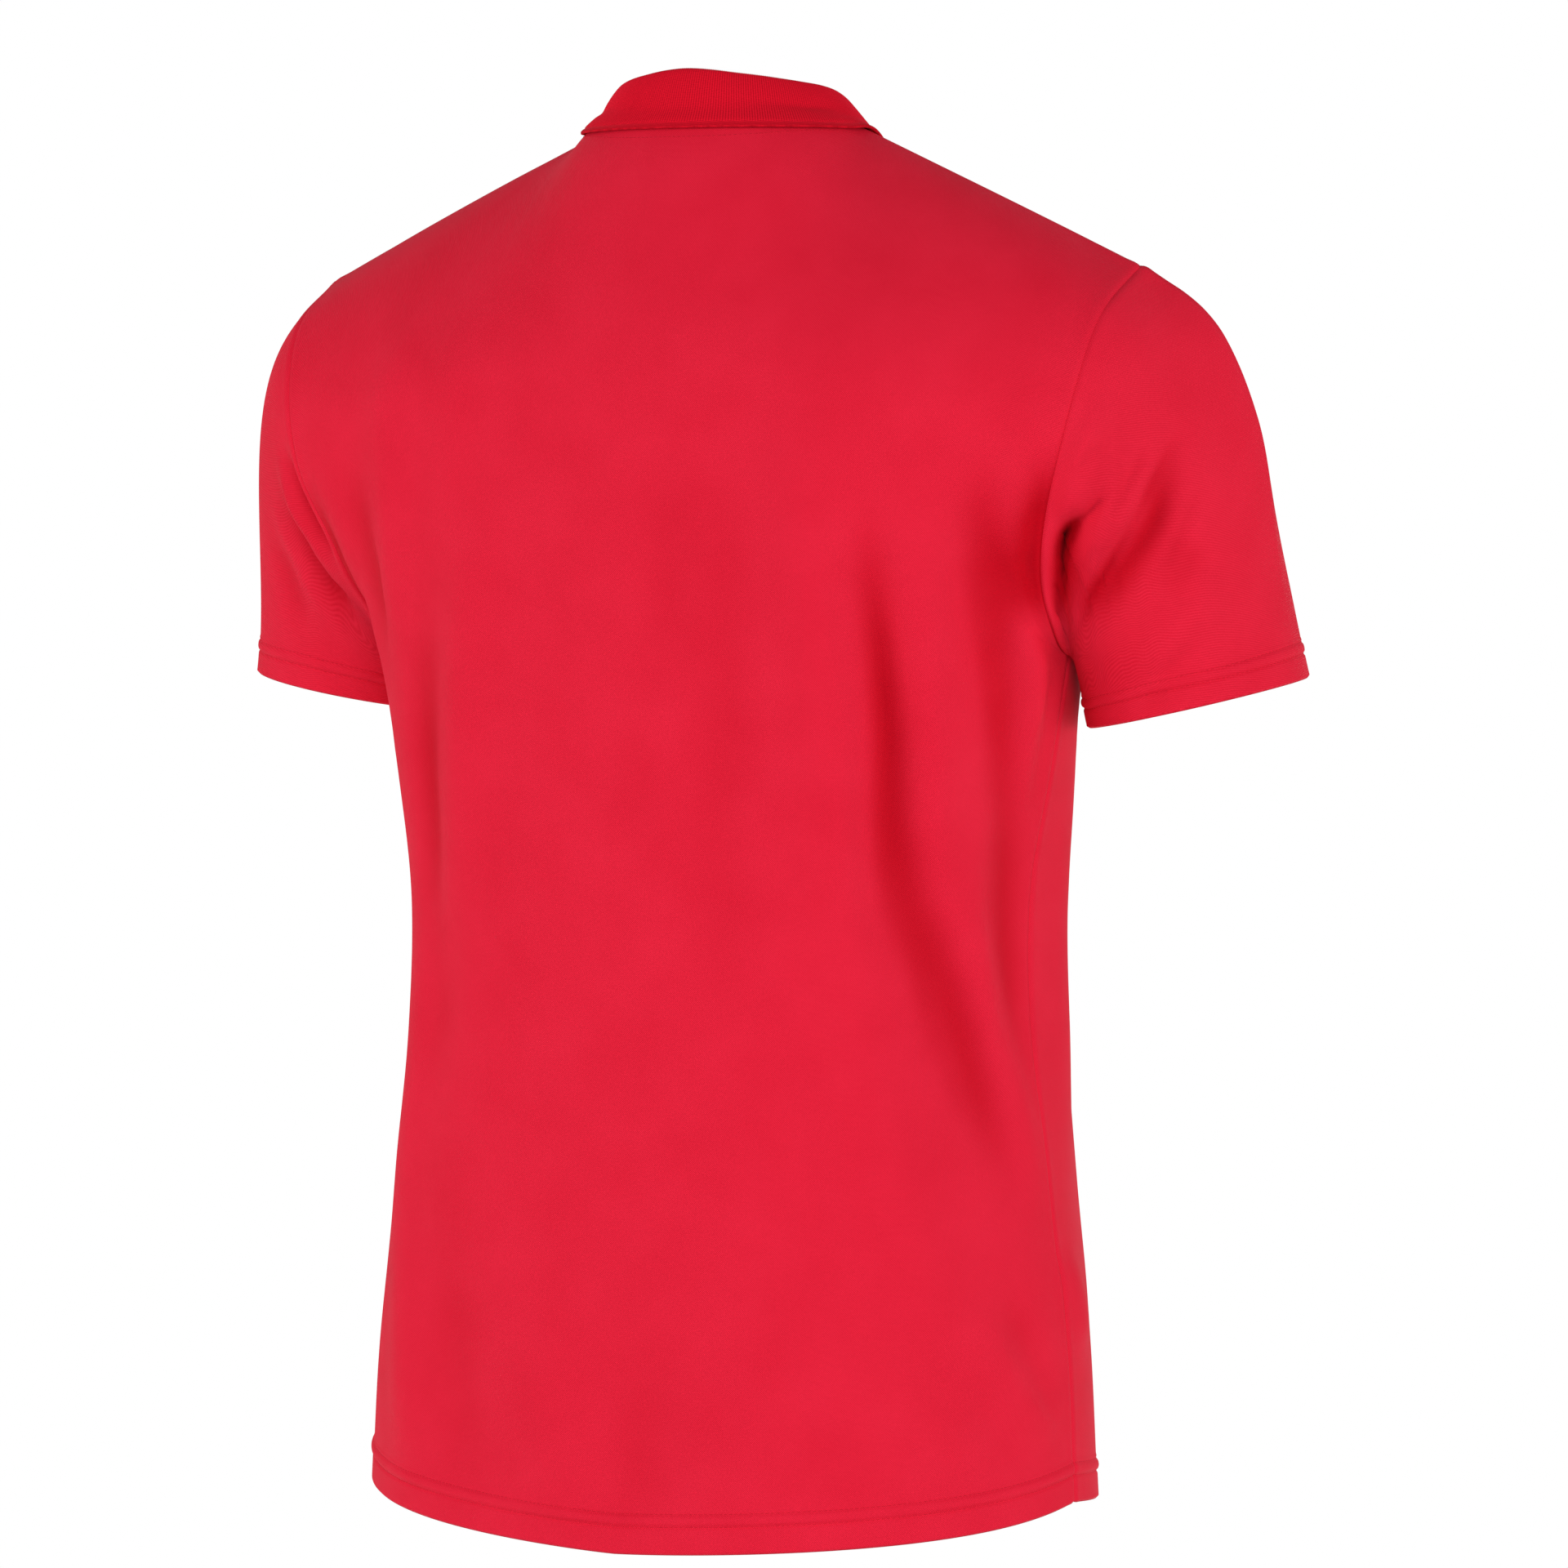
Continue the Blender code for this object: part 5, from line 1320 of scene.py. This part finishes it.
def band(name, node, half_width, first_up, out, stitched):
    """A band along the notch, out metres from the front. stitched is 1 where its edge stitches show."""
    up = np.linspace(first_up, BAND_TOP, BAND_ROWS)
    inner = np.linspace(0, half_width - BAND_EDGE[-1], 6)[:-1]
    half = np.concatenate([inner, half_width - BAND_EDGE[::-1]])
    metres = np.concatenate([-half[:0:-1], half])
    metres, up = np.meshgrid(metres, up)
    middle, n = front_face(metres, up, out)
    edge = np.minimum(half_width - np.abs(metres), (up - first_up) * PANEL_HEIGHT)
    sunk = BAND_SINK * bell(edge - EDGE_STITCH, BAND_SINK_WIDTH) * stitched
    face = BAND / 2 - BAND_ROUNDING + BAND_ROUNDING * soft_step(edge / EDGE_STITCH) - sunk
    made = cloth_wall(name, middle, n, face, BAND / 2 - INSET, red_jersey, ridge=np.ones_like(edge))
    return dress(made, node)


top_start, under_start = PLACKET_UP - BAND_BELOW, PLACKET_UP + UNDER_ABOVE
placket_top = band("placket_top_band", "placket_top", PLACKET_HALF_WIDTH, top_start, TOP_OUT, 1)
placket_under = band("placket_under_band", "placket_under", UNDER_HALF_WIDTH, under_start, UNDER_OUT, 0)

# %% [markdown]
# ## Stitches
# A line of stitches repeats one small shape along a path, which is what Geometry Nodes are for. The tree
# turns a path into a curve, cuts it into stitch lengths and puts a thin rounded grain on each cut, lying
# along the curve. Its sizes are named inputs, so the same tree sews the hems, the neck and the placket.

# %% The stitch tree
STITCH_LINKS = [  # from a node's output to a node's input
    ("given", "Path", "curve", "Mesh"),
    ("curve", "Curve", "cut", "Curve"),
    ("given", "Pitch", "cut", "Length"),
    ("given", "Width", "size", "X"),
    ("given", "Width", "size", "Y"),
    ("given", "Length", "size", "Z"),
    ("tangent", "Tangent", "turn", "Vector"),
    ("cut", "Curve", "place", "Points"),
    ("grain", "Mesh", "place", "Instance"),
    ("turn", "Rotation", "place", "Rotation"),
    ("size", "Vector", "place", "Scale"),
    ("place", "Instances", "real", "Geometry"),
    ("real", "Geometry", "smooth", "Geometry"),
    ("smooth", "Geometry", "paint", "Geometry"),
    ("given", "Thread", "paint", "Material"),
    ("paint", "Geometry", "result", "Stitches"),
]
STITCH_NODES = {
    "given": "NodeGroupInput",
    "curve": "GeometryNodeMeshToCurve",
    "cut": "GeometryNodeResampleCurve",
    "grain": "GeometryNodeMeshIcoSphere",
    "size": "ShaderNodeCombineXYZ",
    "tangent": "GeometryNodeInputTangent",
    "turn": "FunctionNodeAlignRotationToVector",
    "place": "GeometryNodeInstanceOnPoints",
    "real": "GeometryNodeRealizeInstances",
    "smooth": "GeometryNodeSetShadeSmooth",
    "paint": "GeometryNodeSetMaterial",
    "result": "NodeGroupOutput",
}


def stitch_tree():
    tree = bpy.data.node_groups.new("stitch_line", "GeometryNodeTree")

    def socket(name, kind, way="INPUT"):
        tree.interface.new_socket(name=name, in_out=way, socket_type=f"NodeSocket{kind}")

    socket("Path", "Geometry")
    for name in ("Pitch", "Length", "Width"):
        socket(name, "Float")
    socket("Thread", "Material")
    socket("Stitches", "Geometry", "OUTPUT")
    made = {name: tree.nodes.new(kind) for name, kind in STITCH_NODES.items()}
    made["cut"].mode = "LENGTH"
    made["grain"].inputs["Radius"].default_value = 0.5
    made["grain"].inputs["Subdivisions"].default_value = 1
    made["turn"].axis = "Z"
    for source, output, target, entry in STITCH_LINKS:
        tree.links.new(made[source].outputs[output], made[target].inputs[entry])
    return tree


stitch_nodes = stitch_tree()
STITCH_PITCH, STITCH_LENGTH, STITCH_WIDTH = 2.7 * MM, 2.3 * MM, 0.46 * MM


def evaluated_mesh(guide):
    """What an object's curve or modifiers come to, as a mesh of its own."""
    return bpy.data.meshes.new_from_object(guide.evaluated_get(bpy.context.evaluated_depsgraph_get()))


def sewn_on(piece):
    """Thread is no solid of its own, so it hides nothing and only moves with the shirt."""
    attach(piece, "root")
    print(f"{piece.name}: {len(piece.data.polygons)} faces")
    return piece


def stitches(name, paths):
    """One mesh of stitches along several paths, each an array of points."""
    points = np.concatenate(paths)
    edges, first = [], 0
    for path in paths:
        edges += [(first + k, first + k + 1) for k in range(len(path) - 1)]
        first += len(path)
    mesh = bpy.data.meshes.new(name)
    mesh.from_pydata(points.tolist(), edges, [])
    guide = placed(name, mesh)
    sew = guide.modifiers.new("sew", "NODES")
    sew.node_group = stitch_nodes
    given = {"Pitch": STITCH_PITCH, "Length": STITCH_LENGTH, "Width": STITCH_WIDTH, "Thread": red_thread}
    for item in stitch_nodes.interface.items_tree:
        if item.item_type == "SOCKET" and item.name in given:
            sew[item.identifier] = given[item.name]
    sewn = evaluated_mesh(guide)
    guide.modifiers.clear()
    guide.data = sewn
    bpy.data.meshes.remove(mesh)
    sewn.name = name
    return sewn_on(guide)


# %% Hem, cuff and neck stitches
LOW_ROW, HIGH_ROW = round(NEEDLE_LOW / HEM_STEP), round(NEEDLE_HIGH / HEM_STEP)
NEEDLE_ROWS = (LOW_ROW, HIGH_ROW)
NECK_STITCH_ROW = -9  # 18 mm from the neck seam, just below the leaf
NECK_STITCH_CLEAR = 0.09  # of the front's half, left free for the placket
hem_paths = [faces_out[name][row] for name in ("back", "front") for row in NEEDLE_ROWS]
hem_stitches = stitches("hem_stitches", hem_paths)
cuff_stitches = {}
for name in ("left", "right"):
    cuff_paths = [faces_out[f"sleeve_{name}"][-1 - row] for row in NEEDLE_ROWS]
    cuff_stitches[name] = stitches(f"cuff_stitches_{name}", cuff_paths)
neck_paths = []
for side, name in ((1, "back"), (-1, "front")):
    across = body_grid(side)[0][NECK_STITCH_ROW]
    near = np.abs(across) <= NECK_SHARE
    if side > 0:
        neck_paths.append(faces_out[name][NECK_STITCH_ROW, near])
    else:
        beside = near & (np.abs(across) > NECK_STITCH_CLEAR)
        for hand in (1, -1):
            neck_paths.append(faces_out[name][NECK_STITCH_ROW, beside & (across * hand > 0)])
neck_stitches = stitches("neck_stitches", neck_paths)

# %% Placket stitches
BOX_HEIGHT = 9.0 * MM  # of the stitched box at the placket's lower end
DOWN_POINTS, ACROSS_POINTS = 120, 24
band_face = TOP_OUT + BAND / 2 - 0.25 * MM
box_low = PLACKET_UP - BAND_BELOW + EDGE_STITCH / PANEL_HEIGHT
box_high = box_low + BOX_HEIGHT / PANEL_HEIGHT
side_line = PLACKET_HALF_WIDTH - EDGE_STITCH
down_line = np.linspace(box_low, BAND_TOP, DOWN_POINTS)
cross_line = np.linspace(-side_line, side_line, ACROSS_POINTS)
placket_paths = [
    front_face(np.full(DOWN_POINTS, hand * side_line), down_line, band_face)[0] for hand in (1, -1)
]
placket_paths += [
    front_face(cross_line, np.full(ACROSS_POINTS, up), band_face)[0] for up in (box_low, box_high)
]
placket_stitches = stitches("placket_stitches", placket_paths)

# %% [markdown]
# ## Buttons and buttonholes
# A shirt button is turned from a disc: a flat back, a round edge, a raised rim and a dished middle with
# four holes. The profile is spun with bmesh, and the holes are cut by a Boolean, because they are simple
# cylinders. A buttonhole is a slit between two bars of tight zigzag stitching.

# %% Button shape
BUTTON_PROFILE = [  # radius and height, in millimetres, from the middle of the front to that of the back
    (0.0, 0.50),
    (3.1, 0.50),
    (3.6, 0.68),
    (4.0, 1.02),
    (4.5, 1.18),
    (5.0, 1.10),
    (5.35, 0.80),
    (5.5, 0.30),
    (5.45, -0.35),
    (5.1, -0.90),
    (4.4, -1.18),
    (0.0, -1.20),
]
HOLE_RADIUS, HOLE_OUT = 0.78 * MM, 1.25 * MM
BUTTON_SIDES, HOLE_SIDES = 56, 16


def built(name, build):
    """The mesh that a bmesh holds."""
    mesh = bpy.data.meshes.new(name)
    build.to_mesh(mesh)
    build.free()
    return mesh


def turned_disc():
    build = bmesh.new()
    ring = [build.verts.new((r * MM, 0, z * MM)) for r, z in BUTTON_PROFILE]
    for a, b in zip(ring, ring[1:]):
        build.edges.new((a, b))
    bmesh.ops.spin(
        build, geom=build.verts[:] + build.edges[:], cent=(0, 0, 0), axis=(0, 0, 1),
        angle=2 * math.pi, steps=BUTTON_SIDES, use_merge=True,
    )
    bmesh.ops.remove_doubles(build, verts=build.verts, dist=0.01 * MM)
    bmesh.ops.recalc_face_normals(build, faces=build.faces)
    return built("button_disc", build)


def hole_cutters():
    build = bmesh.new()
    for x in (-1, 1):
        for y in (-1, 1):
            bmesh.ops.create_cone(
                build, cap_ends=True, segments=HOLE_SIDES, radius1=HOLE_RADIUS, radius2=HOLE_RADIUS,
                depth=6 * MM, matrix=Matrix.Translation((x * HOLE_OUT, y * HOLE_OUT, 0)),
            )
    return built("button_holes", build)


def in_order(mesh):
    """The same mesh with its points and faces sorted: a Boolean gives them in another order each run."""
    points = [tuple(vertex.co) for vertex in mesh.vertices]
    order = sorted(range(len(points)), key=points.__getitem__)
    place = {old: new for new, old in enumerate(order)}
    faces = []
    for face in mesh.polygons:
        loop = [place[old] for old in face.vertices]
        first = loop.index(min(loop))
        faces.append(loop[first:] + loop[:first])
    made = bpy.data.meshes.new(mesh.name)
    made.from_pydata([points[old] for old in order], [], sorted(faces))
    return made


disc, holes = placed("button_disc", turned_disc()), placed("button_holes", hole_cutters())
cut = disc.modifiers.new("holes", "BOOLEAN")
cut.object = holes
button_mesh = in_order(evaluated_mesh(disc))
for tool in (disc, holes):
    bpy.data.objects.remove(tool)
print("button:", len(button_mesh.polygons), "faces")

# %% Buttons in place
THREAD_RADIUS = 0.17 * MM
STRANDS = 4  # side by side from hole to hole
STRAND_GAP = 1.7  # between two strands' middles, in thread radii
STRAND_POINTS = 9
STRAND_LOW, STRAND_ARCH, STRAND_SINK = 0.50 * MM, 0.30 * MM, 1.2 * MM  # ends sink into the holes
THREAD_ROUNDING = 1  # six sides
SHARP_DEG = 50  # the button's edges that are sharper than this stay sharp


def button_frame(k):
    """Where button k lies, with its own z axis out of the chest and its y axis up the placket."""
    up = np.array(BUTTON_FIRST_UP - k * BUTTON_STEP_UP)
    spot, n = front_face(np.array(0.0), up, TOP_OUT + BAND / 2 + LAP_GAP + BUTTON_THICK / 2)
    z = Vector(n).normalized()
    x = Vector((0, 0, 1)).cross(z).normalized()
    turned = Matrix((x, z.cross(x), z)).transposed().to_4x4()
    return Matrix.Translation(Vector(spot)) @ turned


def painted(mesh, material):
    mesh.materials.clear()
    mesh.materials.append(material)
    mesh.shade_smooth()
    return mesh


def tube(name, paths, radius, material):
    """Round threads along several paths, as one mesh."""
    curve = bpy.data.curves.new(name, "CURVE")
    curve.dimensions = "3D"
    curve.bevel_depth = radius
    curve.bevel_resolution = THREAD_ROUNDING
    curve.use_fill_caps = True
    for path in paths:
        spline = curve.splines.new("POLY")
        spline.points.add(len(path) - 1)
        spline.points.foreach_set("co", np.concatenate([path, np.ones((len(path), 1))], axis=1).ravel())
    guide = placed(name, curve)
    mesh = painted(evaluated_mesh(guide), material)
    bpy.data.objects.remove(guide)
    return sewn_on(placed(name, mesh))


strands = []
bend = np.linspace(-1, 1, STRAND_POINTS)
arch = STRAND_LOW + STRAND_ARCH * (1 - bend**4) - STRAND_SINK * (np.abs(bend) > 0.99)
for k in range(BUTTONS):
    seat = button_frame(k)
    mesh = button_mesh.copy()
    mesh.transform(seat)
    painted(mesh, red_button).set_sharp_from_angle(angle=math.radians(SHARP_DEG))
    dress(placed(f"button_{k + 1}_turned", mesh), f"button_{k + 1}")
    for y in (-1, 1):
        for s in range(STRANDS):
            beside = (s - (STRANDS - 1) / 2) * STRAND_GAP * THREAD_RADIUS
            path = joined(bend * HOLE_OUT, np.full(STRAND_POINTS, y * HOLE_OUT + beside), arch)
            strands.append(np.array([seat @ Vector(p) for p in path]))
button_threads = tube("button_threads", strands, THREAD_RADIUS, red_thread)

# %% Buttonholes
BUTTONHOLE_HALF, BAR_IN, BAR_OUT, BAR_PITCH = 7.6 * MM, 0.25 * MM, 1.35 * MM, 0.34 * MM
TACK_POINTS, TACK_PITCH = 9, 0.16 * MM
BAR_THREAD = 0.15 * MM
bars = []
count = round(2 * BUTTONHOLE_HALF / BAR_PITCH)
along_slit = np.linspace(-BUTTONHOLE_HALF, BUTTONHOLE_HALF, count) / PANEL_HEIGHT
tack = np.where(np.arange(TACK_POINTS) % 2 == 0, -BAR_OUT, BAR_OUT)
for k in range(BUTTONS):
    up = BUTTON_FIRST_UP - k * BUTTON_STEP_UP
    for hand in (1, -1):
        zigzag = np.where(np.arange(count) % 2 == 0, BAR_IN, BAR_OUT) * hand
        bars.append(front_face(zigzag, up + along_slit, TOP_OUT + BAND / 2)[0])
    for end in (1, -1):
        rows = up + end * (BUTTONHOLE_HALF + np.arange(TACK_POINTS) * TACK_PITCH) / PANEL_HEIGHT
        bars.append(front_face(tack, rows, TOP_OUT + BAND / 2)[0])
buttonholes = tube("buttonhole_bars", bars, BAR_THREAD, red_thread)

# %% [markdown]
# ## The cut of each sheet
# Each piece of cloth is listed with the size of the flat piece it was cut from, and that size is
# printed.
# The body and the sleeves were cut as shaped pieces, the collar as a strip.

# %% Sheets
BODY = ["back_cloth", "front_cloth"]
CUTS = [
    (cloths["back"], (0.57, 0.79), 0.385, "hung", ["collar_rib"], [hem_stitches, neck_stitches]),
    (cloths["front"], (0.53, 0.78), 0.350, "hung", ["collar_rib"], []),
    (cloths["sleeve_left"], (0.42, 0.20), 0.056, "hung", BODY, [cuff_stitches["left"]]),
    (cloths["sleeve_right"], (0.42, 0.20), 0.056, "hung", BODY, [cuff_stitches["right"]]),
    (cloths["collar"], (0.46, 0.078), None, "folded", BODY, []),
    (placket_top, (0.035, 0.19), None, "laid", ["front_cloth"], [placket_stitches, buttonholes]),
    (placket_under, (0.027, 0.18), None, "laid", ["front_cloth"], []),
]
for piece, flat, area, held, rests_on, with_pieces in CUTS:
    print(f"{piece.name}: cut from {flat[0] * 100:.0f} x {flat[1] * 100:.0f} cm")

# %% [markdown]
# ## The studio
# The picture is a plain product shot on white. A large soft light stands near the camera, a little above
# it, and is the strongest. Two more, left and right at the shirt's own height, show the folds, and two
# weaker ones behind the shirt, which the gloss doesn't show, keep its far side from going dark.

# %% Camera
VIEW_AZIMUTH, VIEW_ELEVATION, VIEW_DISTANCE = 206.0, 1.2, 4.5  # degrees round from the chest, metres
PICTURE_WIDTH = 0.8205  # metres that the frame spans at the shirt
AIM_UP, AIM_RIGHT = -0.343, 0.0265


def round_the_shirt(azimuth, elevation, distance, centre):
    a, e = math.radians(azimuth), math.radians(elevation)
    away = Vector((math.sin(a) * math.cos(e), -math.cos(a) * math.cos(e), math.sin(e)))
    return centre + distance * away


right = Vector((math.cos(math.radians(VIEW_AZIMUTH)), math.sin(math.radians(VIEW_AZIMUTH)), 0))
centre = Vector((0, 0, AIM_UP)) + right * AIM_RIGHT
camera = placed("camera", bpy.data.cameras.new("camera"))
camera.location = round_the_shirt(VIEW_AZIMUTH, VIEW_ELEVATION, VIEW_DISTANCE, centre)
camera.rotation_euler = (centre - camera.location).to_track_quat("-Z", "Y").to_euler()
camera.data.angle = 2 * math.atan(PICTURE_WIDTH / 2 / VIEW_DISTANCE)
bpy.context.scene.camera = camera
print("camera at", [round(v, 3) for v in camera.location])

# %% Lights
class Softbox(NamedTuple):
    """azimuth counts from the camera, to the right, in degrees; size in metres and power in watts."""

    azimuth: float
    elevation: float
    distance: float
    size: float
    power: float
    glossy: bool  # whether it shows in the cloth's own gloss


SOFTBOXES = [
    Softbox(-62, 4, 3.4, 1.5, 50, True),
    Softbox(60, 2, 3.4, 1.7, 46, True),
    Softbox(6, 14, 5.0, 2.4, 78, True),
    Softbox(150, 4, 3.6, 2.0, 40, False),
    Softbox(-138, 4, 3.6, 2.0, 30, False),
]
for number, box in enumerate(SOFTBOXES, 1):
    lamp = bpy.data.lights.new(f"softbox_{number}", "AREA")
    lamp.size, lamp.energy = box.size, box.power
    holder = placed(lamp.name, lamp)
    holder.location = round_the_shirt(VIEW_AZIMUTH + box.azimuth, box.elevation, box.distance, centre)
    holder.rotation_euler = (centre - holder.location).to_track_quat("-Z", "Y").to_euler()
    holder.visible_glossy = box.glossy
print(len(SOFTBOXES), "soft lights")

# %% Surround and floor
AMBIENT = 0.30  # how much of the surround's white lights the shirt
FLOOR_BELOW = -1.25
FLOOR_RADIUS, FLOOR_SIDES = 3.0, 96
PAPER_DARK, PAPER_LIGHT = (0.86, 0.86, 0.86), (0.90, 0.90, 0.90)

world = bpy.data.worlds.new("white_surround")
world.use_nodes = True
bpy.context.scene.world = world
surround = world.node_tree.nodes
seen, lit = surround["Background"], surround.new("ShaderNodeBackground")
seen.inputs["Strength"].default_value = 1.0
seen.inputs["Color"].default_value = (1, 1, 1, 1)
lit.inputs["Strength"].default_value = AMBIENT
lit.inputs["Color"].default_value = (1, 1, 1, 1)
ray, choose = surround.new("ShaderNodeLightPath"), surround.new("ShaderNodeMixShader")
world.node_tree.links.new(ray.outputs["Is Camera Ray"], choose.inputs[0])
world.node_tree.links.new(lit.outputs[0], choose.inputs[1])
world.node_tree.links.new(seen.outputs[0], choose.inputs[2])
world.node_tree.links.new(choose.outputs[0], surround["World Output"].inputs["Surface"])

build = bmesh.new()
bmesh.ops.create_circle(build, cap_ends=True, segments=FLOOR_SIDES, radius=FLOOR_RADIUS)
floor_mesh = built("floor", build)
floor_mesh.transform(Matrix.Translation((0, 0, FLOOR_BELOW)))
floor = placed("floor", floor_mesh)
paper = Nodes("white_paper")
grain = paper.add("ShaderNodeTexNoise", {"Scale": 40.0, "Detail": 2.0}).outputs[0]
paper.link(paper.mix(grain, PAPER_DARK, PAPER_LIGHT), "Base Color")
floor_mesh.materials.append(paper.finish(Roughness=0.9))
floor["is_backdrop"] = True
bpy.context.scene.view_settings.view_transform = "Standard"

# %% [markdown]
# ## Sizes kept
# The drawn cloth must stay on the form of the solids, so the box of all that is drawn is measured again,
# and how far it grew past the solids' box at the high corner is printed.

# %% Finish
dressed_low, dressed_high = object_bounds()
grew = [round((b - a) / MM, 1) for a, b in zip(cad_high, dressed_high)]
print("box grew by", grew, "mm at the high corner")
